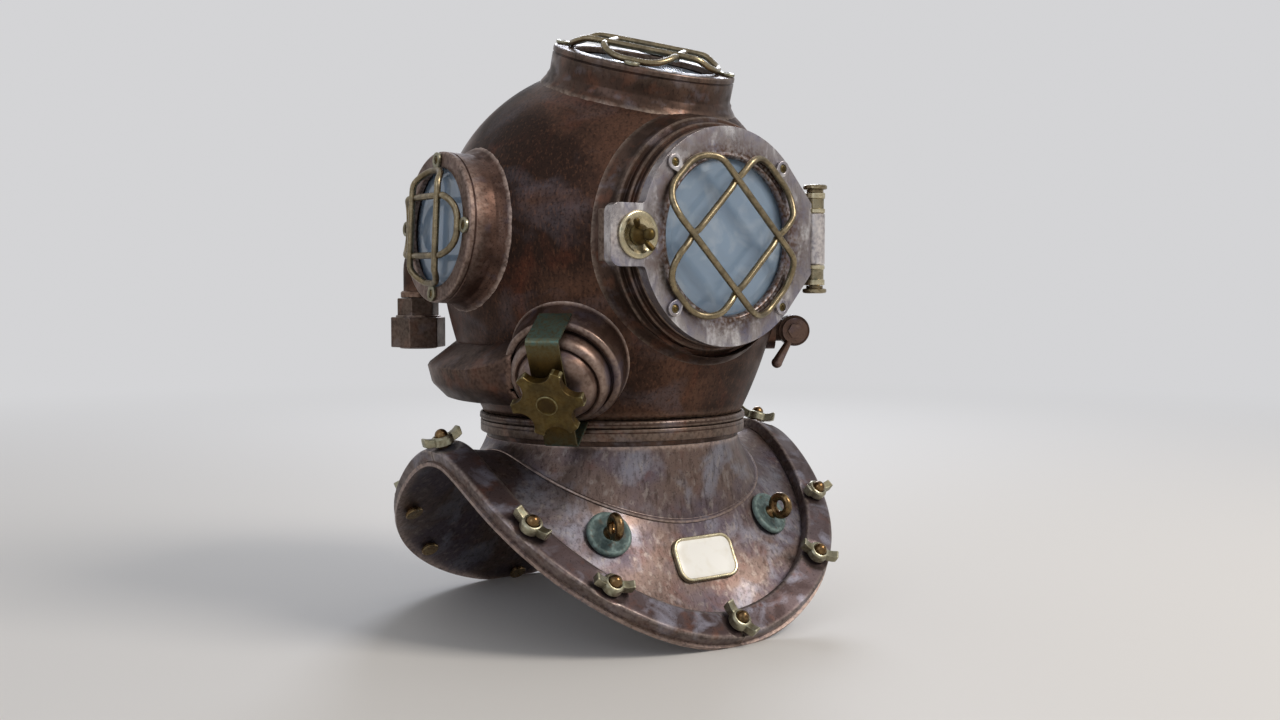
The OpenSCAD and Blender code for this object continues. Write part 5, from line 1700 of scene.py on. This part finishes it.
@dataclass
class PipeConnections(SubAssembly):
    """The two gooseneck pipes at the back: the air inlet and the telephone connection."""

    bonnet: Bonnet
    azimuth: float = 137.0
    out: float = 179.0
    low_z: float = 71.0
    hex_r: float = 25.0
    hex_h: float = 27.0
    neck_h: float = 17.0
    pipe_r: float = 13.0
    bend_r: float = 27.0
    elbow_z: float = 140.0
    gland_r: float = 15.0
    cap_h: float = 24.0

    @staticmethod
    def hexagon(radius: float, height: float) -> Form:
        """Makes a hexagonal nut blank with softened corners, standing on z 0."""
        return Form().slab(circle(6, radius), height).soften(0.9, segments=3, angle=40)

    def elbow(self, side: Side) -> Form:
        """Bends the pipe up and over into the bonnet, with its flange and union.

        Args:
            side: the wearer's side that it is on.

        Returns:
            The elbow, placed.
        """
        frame = turned("Z", side.value * self.azimuth)
        start = self.low_z + self.hex_h + self.neck_h + GAP
        top = self.elbow_z + self.bend_r
        path = [(0, -self.out, start + (self.elbow_z - start) * i / 4) for i in range(5)]
        for out, up in arc(self.bend_r, 0, 90, 12)[1:]:
            path.append((0, -self.out + self.bend_r - out, self.elbow_z + up))
        path.append((0, -self.bonnet.radius + 4, top))
        form = Form().wire(path, self.pipe_r, sides=40)
        union = from_edge(self.pipe_r, 0, (-1, 0), (1.7, 0), (2.5, 0.8), (2.5, 4.8), (1.4, 6), (-1, 6.6))
        form.join(Form().lathe(union, steps=56), moved(0, -self.out, start))
        r = self.pipe_r + 6
        flange = [
            *from_edge(self.pipe_r, FOOT, (-1, 7.5), (0.6, 6.2), (1.6, 4.8)),
            *from_edge(r, FOOT, (-1.2, 3.6), (0, 2.4), (1.5, 0.9), (2.6, -0.8)),
            (self.pipe_r - 1, FOOT - 1.6),
        ]
        spot = moved(0, 0, top) @ turned("X", 90)
        seated = self.bonnet.seat(Form().lathe(flange, steps=64), frame @ spot)
        form.join(seated, spot)
        return form.place(frame)

    def inlet(self) -> Form:
        """Makes the inlet's two hexagons with the hose socket below.

        Returns:
            The inlet, placed.
        """
        form = self.hexagon(self.hex_r, self.hex_h)
        upper = self.hexagon(self.hex_r - 6, self.neck_h + 0.5)
        form.join(upper, moved(0, 0, self.hex_h - 0.5))
        socket = [(13, -1.2), (16.2, -1.2), (17.2, -0.2), (17.2, 1.0), (13, 1.0)]
        form.join(Form().lathe(socket, steps=56))
        seam = [(17.4, 0), (19.4, 0), (20.0, 0.6), (20.0, 1.8), (19.4, 2.4), (17.4, 2.4)]
        form.join(Form().lathe(seam, steps=56), moved(0, 0, self.hex_h - 0.6))
        return form.place(turned("Z", -self.azimuth) @ moved(0, -self.out, self.low_z))

    def cap(self) -> Form:
        """Makes the telephone gland: a knurled skirt under a hexagon.

        Returns:
            The cap, placed.
        """
        form = self.hexagon(self.gland_r + 4, 12).place(moved(0, 0, self.cap_h - 12))
        ribs = 48
        skirt = [
            (8, 0),
            *from_edge(
                self.gland_r, 0, (-2.4, 0), (-0.8, 0.8), (-0.8, 1.6), (0, 2.2), (0, 9.6), (-0.8, 10.2),
                (-0.8, 12.4),
            ),
            (8, 12.4),
        ]
        sleeve = Form().lathe(skirt, steps=ribs * 2)
        for vert in sleeve.bm.verts:
            angle = atan2(vert.co.y, vert.co.x)
            if hypot(vert.co.x, vert.co.y) > self.gland_r - 0.2 and cos(angle * ribs) < 0:
                vert.co.xy = vert.co.xy * (1 - 0.6 / self.gland_r)
        form.join(sleeve)
        place = turned("Z", self.azimuth) @ moved(0, -self.out, self.low_z + self.hex_h + self.neck_h)
        return form.place(place @ moved(0, 0, -self.cap_h))

    def build(self) -> None:
        """Builds both connections."""
        self.elbow(Side.RIGHT).dress("air_inlet_gooseneck", SPUN_COPPER, Body.BONNET, "air_inlet_elbow")
        self.elbow(Side.LEFT).dress("telephone_gooseneck", SPUN_COPPER, Body.BONNET, "telephone_elbow")
        self.inlet().dress("air_inlet_union", BROWNED_GUNMETAL, Body.BONNET, "air_inlet_body", crease=42)
        self.cap().dress("telephone_gland_cap", WIRE_BRASS, Body.BONNET, "telephone_cap", crease=42)


@dataclass
class Breastplate(SubAssembly):
    """The breastplate: collar plate, neck, the four brails, studs, wing nuts and fittings."""

    half_w: float = 168.0
    half_d: float = 162.0
    squareness: float = 2.6
    side_z: float = -12.5
    drop: float = 137.5
    lean_side: float = 18.0
    lean_front: float = 45.0
    wall: float = 3.2
    crease_w: float = 119.0
    crease_d: float = 114.0
    crease_z: float = -12.0
    crease_fall: float = 54.0
    bow: float = 8.0
    foot_cut: float = 2.0
    brail_w: float = 26.0
    brail_h: float = 9.6
    lip: float = 2.5
    stud_r: float = 5.5
    stud_near: float = 38.4
    stud_far: float = 58.6
    nut_hub: float = 9.0
    nut_h: float = 7.8
    ring_foot_r: float = 111.0
    eye_azimuth: float = 38.5
    eye_t: float = 0.42
    plate_t: float = 0.43
    plate_w: float = 62.0
    plate_h: float = 38.0
    plate_r: float = 11.0
    soft_shoulder: float = 0.15
    rim_power: float = 1.16
    crease_power: float = 1.33

    def __post_init__(self) -> None:
        """Works out the studs and the level that the breastplate stands on."""
        near, far = self.stud_near, self.stud_far
        self.studs = [0, near, far, 90, 180 - far, 180 - near]
        self.studs += [180, 180 + near, 180 + far, 270, 360 - far, 360 - near]
        self.flange = self.brail_w / 2 + self.lip
        self.apron_end = -self.brail_w / 2 - 2
        self.foot_z = self.on_rim(0, self.flange, -self.wall).z + self.foot_cut

    def fall(self, phi: float, power: float) -> float:
        """Gives how far down the curve of the rim lies at an angle, from 0 at the shoulder to 1."""
        soft = self.soft_shoulder
        rise = sqrt(cos(radians(phi)) ** 2 + soft * soft) - soft
        return max(0.0, rise / (sqrt(1 + soft * soft) - soft)) ** power

    @staticmethod
    def at(phi: float, rho: float, z: float) -> Vector:
        """Gives the point at an angle from the front, a distance from the axis and a height."""
        angle = radians(phi)
        return Vector((rho * sin(angle), -rho * cos(angle), z))

    def plan(self, phi: float, across: float, deep: float) -> float:
        """Gives the radius of a squared oval seen from above."""
        angle, n = radians(phi), self.squareness
        total = (abs(sin(angle)) / across) ** n + (abs(cos(angle)) / deep) ** n
        return total ** (-1 / n)

    def rim(self, phi: float) -> Vector:
        """Gives the point of the rim's line of studs at an angle."""
        z = self.side_z - self.drop * self.fall(phi, self.rim_power)
        return self.at(phi, self.plan(phi, self.half_w, self.half_d), z)

    def rim_axes(self, phi: float) -> tuple[Vector, Vector]:
        """Works out the rim's directions at an angle.

        Args:
            phi: the angle from the front.

        Returns:
            The directions across the rim and out of it.
        """
        along = (self.rim(phi + 1) - self.rim(phi - 1)).normalized()
        lean = self.lean_side + (self.lean_front - self.lean_side) * self.fall(phi, self.rim_power)
        tilt = radians(lean)
        out = self.at(phi, cos(tilt), -sin(tilt)).cross(along).normalized()
        return along.cross(out), out

    def on_rim(self, phi: float, across: float, out: float) -> Vector:
        """Gives a point by its distances across the rim and out of it."""
        side, normal = self.rim_axes(phi)
        return self.rim(phi) + side * across + normal * out

    def crease(self, phi: float) -> Vector:
        """Gives the point at which the neck meets the collar plate."""
        z = self.crease_z - self.crease_fall * self.fall(phi, self.crease_power)
        return self.at(phi, self.plan(phi, self.crease_w, self.crease_d), z)

    def apron_middle(self, phi: float) -> Vector:
        """Gives the control point of the collar plate's curve."""
        end = self.on_rim(phi, self.apron_end, 0)
        return (self.crease(phi) + end) / 2 + self.at(phi, -self.bow * self.fall(phi, self.rim_power), 0)

    def apron(self, phi: float, t: float) -> Vector:
        """Gives the collar plate's surface from the crease at 0 to the brail at 1."""
        end = self.on_rim(phi, self.apron_end, 0)
        return (self.crease(phi) * (1 - t) ** 2 + self.apron_middle(phi) * 2 * t * (1 - t) + end * t * t)

    def apron_normal(self, phi: float, t: float) -> Vector:
        """Gives the collar plate's outward direction."""
        down = self.apron(phi, t + 0.05) - self.apron(phi, t - 0.05)
        return down.cross(self.apron(phi + 2, t) - self.apron(phi - 2, t)).normalized()

    def on_apron(self, phi: float, t: float) -> Matrix:
        """Gives the frame on the collar plate with z out and x along the rim's way round."""
        v = self.apron_normal(phi, t)
        turn = Matrix.Rotation(atan2(v.y, v.x) + pi / 2, 4, "Z")
        return Matrix.Translation(self.apron(phi, t)) @ turn @ Matrix.Rotation(acos(v.z), 4, "X")

    def on_stud(self, phi: float) -> Matrix:
        """Gives the frame on the rim with z along the rim's own normal."""
        v = self.rim_axes(phi)[1]
        turn = Matrix.Rotation(atan2(v.y, v.x), 4, "Z") @ Matrix.Rotation(acos(v.z), 4, "Y")
        return Matrix.Translation(self.rim(phi)) @ turn

    def collar(self) -> Form:
        """Wraps the collar plate from under the neck out to the flange's edge and back inside.

        Returns:
            The plate, with its wall.
        """
        rows, rim_rows = 20, 4
        last = rows + rim_rows
        count = 2 * last + 2

        def surface(u: float, v: float) -> Vector:
            """Gives the plate's point at its shares round the rim and across the section."""
            phi, step = 360 * u, round(v * count) % count
            row = step if step <= last else count - 1 - step
            if row == 0:
                lead = (self.apron_middle(phi) - self.crease(phi)).normalized()
                point, normal = self.crease(phi) - lead * 5, self.apron_normal(phi, 0.05)
            elif row <= rows:
                t = (row - 1) / (rows - 1)
                point, normal = self.apron(phi, t), self.apron_normal(phi, t)
            else:
                share = (row - rows) / rim_rows
                across = self.apron_end + share * (self.flange - self.apron_end)
                point = self.on_rim(phi, across, 0)
                normal = self.rim_axes(phi)[1]
            wave = noise.noise(point * 0.02) * 0.5 + noise.noise(point * 0.05) * 0.15
            point = point - normal * (max(0.0, wave) + (self.wall if step > last else 0.0))
            return Vector((point.x, point.y, max(point.z, self.foot_z)))

        return Form().skin(216, count, surface)

    def neck(self) -> Form:
        """Wraps the neck's sheet from its ring down to a thin lap on the collar plate.

        Returns:
            The neck, with its wall.
        """
        rows, top_z = 16, -4.3
        edge = ((1.6, 1.5), (3.0, 1.2), (3.4, 0.6), (3.0, 0.15))

        def side(phi: float, depth: float, t: float) -> Vector:
            """Gives the point at a depth in the wall, from the ring at 0 to the crease at 1."""
            lead = self.apron_middle(phi) - self.crease(phi)
            run = hypot(lead.x, lead.y)
            low = self.crease(phi) - lead * depth / run + Vector((0, 0, GAP))
            high = self.at(phi, self.ring_foot_r - depth, top_z)
            middle = (high + low) / 2 + self.at(phi, -2, 0)
            return high * (1 - t) ** 2 + middle * 2 * t * (1 - t) + low * t * t

        def surface(u: float, v: float) -> Vector:
            """Gives the neck's point at its shares round it and across its section."""
            phi = 360 * u
            step = round(v * (2 * rows + 6)) % (2 * rows + 6)
            lead = (self.apron_middle(phi) - self.crease(phi)).normalized()
            normal = self.apron_normal(phi, 0.08)
            if step <= rows:
                return side(phi, 0, step / rows)
            lap = step - rows - 1
            if lap < len(edge):
                return self.crease(phi) + lead * edge[lap][0] + normal * edge[lap][1]
            return side(phi, self.wall, 1 - (lap - len(edge)) / rows)

        return Form().skin(216, 2 * rows + 6, surface)

    def brail(self, start: float, end: float) -> Form:
        """Forges one brail, with round spot faces under its wing nuts.

        Args:
            start: the stud at which it begins.
            end: the stud at which it ends.

        Returns:
            The brail.
        """
        half, low, top, trim = self.brail_w / 2, GAP, GAP + self.brail_h, 0.15
        section = [
            (-half, low), (-half, low + 0.8),
            *from_edge(-half, top, (0, -2.2), (0.4, -1.3), (1.6, -0.3), (3.0, 0)),
            *[(-half + 3 + (self.brail_w - 6) * i / 8, top) for i in range(1, 8)],
            *from_edge(half, top, (-3.0, 0), (-1.6, -0.3), (-0.4, -1.3), (0, -2.2)), (half, low + 0.8),
            (half, low), (0, low),
        ]
        places = [self.rim(phi) for phi in self.studs + [360] if start <= phi <= end]

        def surface(u: float, v: float) -> Vector:
            """Gives the strap's point at its shares along it and round its section."""
            phi = start + trim + (end - start - 2 * trim) * u
            across, out = section[round(v * len(section)) % len(section)]
            point = self.rim(phi)
            if out > top - 0.6:
                away = min(hypot((point - place).length, across) for place in places)
                ease = max(0.0, min(1.0, (14.5 - away) / 2.2))
                out -= 1.1 * ease * ease * (3 - 2 * ease)
                out -= 0.25 * max(0.0, noise.noise(point * 0.06 + Vector((0, 0, across * 0.05))))
            return self.on_rim(phi, across, out)

        return Form().skin(132, len(section), surface, capped=True)

    def stud_row(self) -> Form:
        """Turns the twelve studs with their domed tops.

        Returns:
            The studs, placed.
        """
        top = 2 * GAP + self.brail_h + self.nut_h
        r = self.stud_r
        dome = [(out, top + up) for out, up in arc(r, 0, 80, 8)]
        form = Form()
        for phi in self.studs:
            low = -self.wall - GAP - 3
            profile = [(0, low - 1.8), (r + 2, low - 1.8), (r + 2.5, low - 1.2), (r + 2.5, low + 0.7)]
            profile += [(r, low + 0.7), *dome, (0, top + r)]
            form.join(Form().lathe(profile, steps=32), self.on_stud(phi))
        return form

    def wing_nut(self, number: int) -> Form:
        """Makes a wing nut: a chamfered hub with two blunt wings like blocks.

        Args:
            number: its place round the rim, from 0 at the chest.

        Returns:
            The nut, placed on its stud.
        """
        low = 2 * GAP + self.brail_h
        top, hub, bore = low + self.nut_h, self.nut_hub, self.stud_r + 0.08
        profile = [
            (bore, low), (hub - 0.6, low), (hub, low + 0.6), (hub, top - 2.2), (hub - 0.5, top - 1.0),
            (hub - 1.6, top - 0.1), (bore + 0.7, top), (bore, top - 0.7),
        ]
        form = Form().lathe(profile, steps=48)
        wing = [
            (hub - 2.4, low + 0.6), (hub + 0.6, low + 0.8), (hub + 4.6, low + 1.8), (16.8, low + 3.4),
            (16.8, low + 7.0), (16.4, low + 10.4), (15.1, low + 10.6), (hub + 2.6, low + 8.6),
            (hub - 0.6, low + 7.6), (hub - 2.4, low + 7.4),
        ]
        form.wings(wing, 7.0, Matrix(), angle=35)
        return form.place(self.on_stud(self.studs[number]) @ turned("Z", 37 * number + 20))

    def eye_bases(self) -> Form:
        """Turns the two dished discs under the lashing eyes.

        Returns:
            The discs, placed.
        """
        form = Form()
        profile = [
            (6.1, 0), (18.4, 0), (19, 0.6), (19, 2.2), (18.2, 3.4), (16.8, 4.0), (15.2, 3.7),
            (11.0, 3.0), (8.0, 3.4), (6.1, 4.0),
        ]
        for side in Side:
            spot = self.on_apron(side.value * self.eye_azimuth, self.eye_t) @ moved(0, 0, GAP + 1.1)
            form.join(Form().lathe(profile, steps=72), spot)
        return form

    def eyes(self) -> Form:
        """Makes the two lashing eyes: thick rings on short stems.

        Returns:
            The eyes, placed.
        """
        form = Form()
        ring_r, wire_r = 8.0, 3.6
        height = GAP + 1.1 + 4 + GAP + ring_r + wire_r
        loop = [(0, y, height + z) for y, z in circle(40, ring_r)]
        stem = [(0, 1.5), (5.95, 1.5), (5.95, 5.6), (5.2, 6.8), (4.4, 8.6), (3.8, 10.0), (0, 10.4)]
        for side in Side:
            spot = self.on_apron(side.value * self.eye_azimuth, self.eye_t)
            form.join(Form().wire(loop, wire_r, sides=24, closed=True), spot)
            form.join(Form().lathe(stem, steps=40), spot)
        return form

    def rounded_reach(self, angle: float, inset: float) -> float:
        """Gives how far the nameplate's edge lies from its centre in a direction.

        Args:
            angle: the direction in radians.
            inset: how far the edge is drawn in.

        Returns:
            The distance.
        """
        a, b, r = self.plate_w / 2 - inset, self.plate_h / 2 - inset, self.plate_r - inset
        c, s = abs(cos(angle)), abs(sin(angle))
        flat = min(a / max(c, 1e-9), b / max(s, 1e-9))
        x, y = flat * c, flat * s
        if x <= a - r or y <= b - r:
            return flat
        middle = c * (a - r) + s * (b - r)
        inside = middle * middle - ((a - r) ** 2 + (b - r) ** 2 - r * r)
        return middle + sqrt(max(0.0, inside))

    def nameplate(self, rim: bool) -> Form:
        """Shapes the bare nameplate or its rim, and bends it to the chest.

        Args:
            rim: whether to make the brass rim and not the enamel.

        Returns:
            The form, placed.
        """
        width = 3.0
        if rim:
            profile = [(1, 0), (2, 0), (2, 2.6), (1.8, 3.5), (1.5, 3.8), (1.2, 3.5), (1, 2.4)]
            form = Form().lathe(profile, steps=144)
        else:
            inner = [(0.2 * i, 2.5) for i in range(6)]
            form = Form().lathe([*inner, (1.1, 2.4), (1.1, 0.4), (0, 0.4)], steps=144)
        rows = 1 / (self.apron(0, 1) - self.apron(0, 0)).length
        around = hypot(*self.apron(0, self.plate_t).xy)
        back = self.on_apron(0, self.plate_t).inverted()

        def bend(point: Vector) -> Vector:
            """Lays a point of the turned disc onto the chest as a rounded oblong."""
            out = hypot(point.x, point.y)
            angle = atan2(point.y, point.x)
            inside = self.rounded_reach(angle, width)
            reach = inside * min(out, 1.0)
            if out > 1.0:
                reach += (self.rounded_reach(angle, 0) - inside) * (out - 1.0)
            x, y = reach * cos(angle), reach * sin(angle)
            phi, t = 0.0, self.plate_t
            for _ in range(6):
                flat = back @ self.apron(phi, t)
                phi += degrees((x - flat.x) / around)
                t -= (y - flat.y) * rows
            return self.apron(phi, t) + self.apron_normal(phi, t) * (point.z + GAP)

        return form.shift(bend).clean()

    def build(self) -> None:
        """Builds the breastplate's pieces."""
        plate = Body.BREASTPLATE
        self.collar().dress("collar_plate", BEATEN_COPPER, plate, "breastplate", flats=False)
        self.neck().dress("neck_sheet", BEATEN_COPPER, plate, "breastplate_neck", flats=False)
        for i, name in enumerate(("front_left", "rear_left", "rear_right", "front_right")):
            strap = self.brail(90 * i, 90 * i + 90)
            strap.dress(f"brail_{name}_forged", FORGED_COPPER, plate, f"brail_{name}")
        self.stud_row().dress("rim_studs_domed", STUD_BRASS, plate, "rim_studs")
        self.eye_bases().dress("lashing_eye_discs", VERDIGRIS_BRONZE, plate, "lashing_eye_bases")
        self.eyes().dress("lashing_eye_rings", STUD_BRASS, plate, "lashing_eyes")
        self.nameplate(False).dress("nameplate_enamel", CREAM_ENAMEL, plate, "nameplate", flats=False)
        self.nameplate(True).dress("nameplate_rim", HANDLED_BRASS, plate)
        for number in range(len(self.studs)):
            name = f"wing_nut_{number + 1:02d}"
            self.wing_nut(number).dress(f"{name}_flared", NUT_BRASS, name, name)


@dataclass
class SmallWorks(SubAssembly):
    """Pieces whose CAD shape is right: merged copies with rounded edges."""

    nodes: dict[str, bpy.types.Object]

    def __post_init__(self) -> None:
        """Draws the turned bands that lie over the neck rings' outsides."""
        self.bands: dict[str, Profile] = {
            "breastplate_ring": [
                (113, 0.1), (115.0, -0.1), (116.2, 0.5), (116.5, 1.3), (116.5, 6.6), (116.2, 6.9),
                (115.8, 7.0), (115.8, 7.5), (116.2, 7.6), (116.5, 7.9), (116.5, 9.2), (116.1, 10.1),
                (115.2, 10.5), (113, 10.5),
            ],
            "bonnet_ring": [
                (113, 10.9), (115.6, 10.8), (116.8, 11.5), (117.2, 12.4), (117.2, 13.2), (116.5, 13.6),
                (116.5, 14.2), (117.0, 14.5), (117.0, 15.5), (116.5, 16.4), (115.2, 17.2), (113, 17.2),
            ],
        }

    def build(self) -> None:
        """Copies, softens and dresses each of them."""
        plans: list[tuple[str, Finish, Body, float]] = [
            ("breastplate_ring", BROWNED_GUNMETAL, Body.BREASTPLATE, 0.4),
            ("bonnet_ring", BROWNED_GUNMETAL, Body.BONNET, 0.3),
            ("neck_gasket", GASKET_LEATHER, Body.BREASTPLATE, 0.2),
            ("door_seal", SEAL_RUBBER, Body.BONNET, 0.2), ("door_glass_ring", WIRE_BRASS, Body.DOOR, 0.4),
            ("exhaust_disc", WIRE_BRASS, Body.DISC, 0.4), ("exhaust_spring", HANDLED_BRASS, Body.DISC, 0.0),
            ("inlet_disc", WIRE_BRASS, Body.INLET_DISC, 0.3),
            ("safety_catch", HANDLED_BRASS, Body.CATCH, 0.5),
            ("spitcock_body", BROWNED_GUNMETAL, Body.BONNET, 0.6),
            ("spitcock_plug", VALVE_METAL, Body.SPITCOCK, 0.5),
        ]
        for name, finish, body, width in plans:
            form = Form().copy_node(self.nodes[name])
            if width:
                form.soften(width, angle=36)
            form.stain("plain", lambda p: 1.0)
            if name in self.bands:
                form.join(Form().lathe(self.bands[name], steps=160).stain("plain", lambda p: 0.0))
            form.dress(f"{name}_finished", finish, body, name)


@dataclass(frozen=True)
class Lamp:
    """A soft square lamp: its place and side in metres, its watts and its colour."""

    name: str
    place: tuple[float, float, float]
    size: float
    watts: float
    tint: str


@dataclass
class Studio:
    """The plain pale floor, the soft light and the camera at the photograph's angle."""

    floor_z: float = -161.3
    floor_half: float = 9000.0
    floor_tint: str = "#DDDAD5"
    floor_rough: float = 0.7
    fade_from: float = 0.5
    fade_to: float = 3.0
    lamps: tuple[Lamp, ...] = (
        Lamp("key_light", (1.0, -2.0, 1.9), 1.1, 48.0, "#FFF8F0"),
        Lamp("fill_light", (-2.4, -1.0, 1.3), 1.6, 9.0, "#DDE8FF"),
        Lamp("rim_light", (1.6, 1.9, 1.3), 0.9, 26.0, "#EAF1FF"),
    )
    lit: tuple[float, float, float] = (0.0, 0.0, 0.1)
    eye: tuple[float, float, float] = (-753.2, -1021.5, 129.6)
    target: tuple[float, float, float] = (19.4, -14.9, 60.5)
    lens: float = 40.28
    sensor: float = 36.0
    backdrop: str = "#DEDEE0"
    bright: float = 0.9
    dim: float = 0.5

    def floor(self) -> None:
        """Lays the floor, which fades into the backdrop with distance where the camera sees it."""
        bm = bmesh.new()
        bmesh.ops.create_grid(bm, x_segments=1, y_segments=1, size=self.floor_half * MM)
        bmesh.ops.translate(bm, verts=bm.verts, vec=(0, 0, self.floor_z * MM))
        mesh = bpy.data.meshes.new("studio_floor")
        bm.to_mesh(mesh)
        bm.free()
        matt = bpy.data.materials.new("paper_floor_pale")
        matt.use_nodes = True
        paper = matt.node_tree
        shader = paper.nodes["Principled BSDF"]
        shader.inputs["Base Color"].default_value = linear(self.floor_tint)
        shader.inputs["Roughness"].default_value = self.floor_rough
        glow = add_node(paper, "Emission", {"Color": linear(self.backdrop), "Strength": self.bright})
        place = add_node(paper, "TexCoord").outputs["Object"]
        away = add_node(paper, "VectorMath", {0: place}, operation="LENGTH").outputs["Value"]
        band = {"From Min": self.fade_from, "From Max": self.fade_to}
        far = add_node(paper, "MapRange", {"Value": away, **band}, interpolation_type="SMOOTHSTEP")
        direct = add_node(paper, "LightPath").outputs["Is Camera Ray"]
        faded = add_node(paper, "Math", {0: far, 1: direct}, operation="MULTIPLY")
        blend = add_node(paper, "MixShader", {0: faded, 1: shader, 2: glow})
        paper.links.new(blend.outputs[0], paper.nodes["Material Output"].inputs["Surface"])
        mesh.materials.append(matt)
        floor = bpy.data.objects.new("studio_floor", mesh)
        bpy.context.scene.collection.objects.link(floor)

    def hang(self, lamp: Lamp) -> None:
        """Hangs a lamp that faces the helmet.

        Args:
            lamp: the lamp.
        """
        light = bpy.data.lights.new(lamp.name, "AREA")
        light.shape = "SQUARE"
        light.size = lamp.size
        light.energy = lamp.watts
        light.color = linear(lamp.tint)[:3]
        hung = bpy.data.objects.new(lamp.name, light)
        hung.location = lamp.place
        hung.rotation_euler = (Vector(self.lit) - Vector(lamp.place)).to_track_quat("-Z", "Y").to_euler()
        bpy.context.scene.collection.objects.link(hung)

    def air(self) -> None:
        """Sets the world: the backdrop to the camera and in mirrors and glass, and dimmer as light."""
        world = bpy.data.worlds.new("studio_air")
        bpy.context.scene.world = world
        world.use_nodes = True
        tree = world.node_tree
        backdrop = tree.nodes["Background"]
        backdrop.inputs["Color"].default_value = linear(self.backdrop)
        rays = add_node(tree, "LightPath").outputs
        seen: Union[Node, Socket] = rays["Is Camera Ray"]
        for kind in ("Is Glossy Ray", "Is Transmission Ray"):
            seen = add_node(tree, "Math", {0: seen, 1: rays[kind]}, operation="MAXIMUM")
        strength = add_node(tree, "MapRange", {"Value": seen, "To Min": self.dim, "To Max": self.bright})
        tree.links.new(strength.outputs[0], backdrop.inputs["Strength"])

    def camera(self) -> None:
        """Sets the camera where the photograph was taken from."""
        data = bpy.data.cameras.new("photo_camera")
        data.lens, data.sensor_width = self.lens, self.sensor
        camera = bpy.data.objects.new("photo_camera", data)
        camera.location = Vector(self.eye) * MM
        aim = (Vector(self.target) - Vector(self.eye)).normalized()
        camera.rotation_euler = aim.to_track_quat("-Z", "Y").to_euler()
        bpy.context.scene.collection.objects.link(camera)
        bpy.context.scene.camera = camera

    def build(self) -> None:
        """Lays the floor and sets the lamps, the world and the camera."""
        self.floor()
        for lamp in self.lamps:
            self.hang(lamp)
        self.air()
        self.camera()
        bpy.context.scene.view_settings.view_transform = "Standard"


def main() -> None:
    """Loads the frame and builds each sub-assembly."""
    logging.basicConfig(level=logging.INFO, format="%(name)s %(message)s")
    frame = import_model()
    bonnet = Bonnet()
    windows = FixedWindows(bonnet)
    door = FrontDoor(bonnet)
    groups: list[SubAssembly] = [
        bonnet, windows, door, ExhaustValve(bonnet), PipeConnections(bonnet), Breastplate(),
        SmallWorks(frame["nodes"]),
    ]
    for group in groups:
        LOG.info("building %s", type(group).__name__)
        group.build()
    Studio().build()


if __name__ == "__main__":
    main()
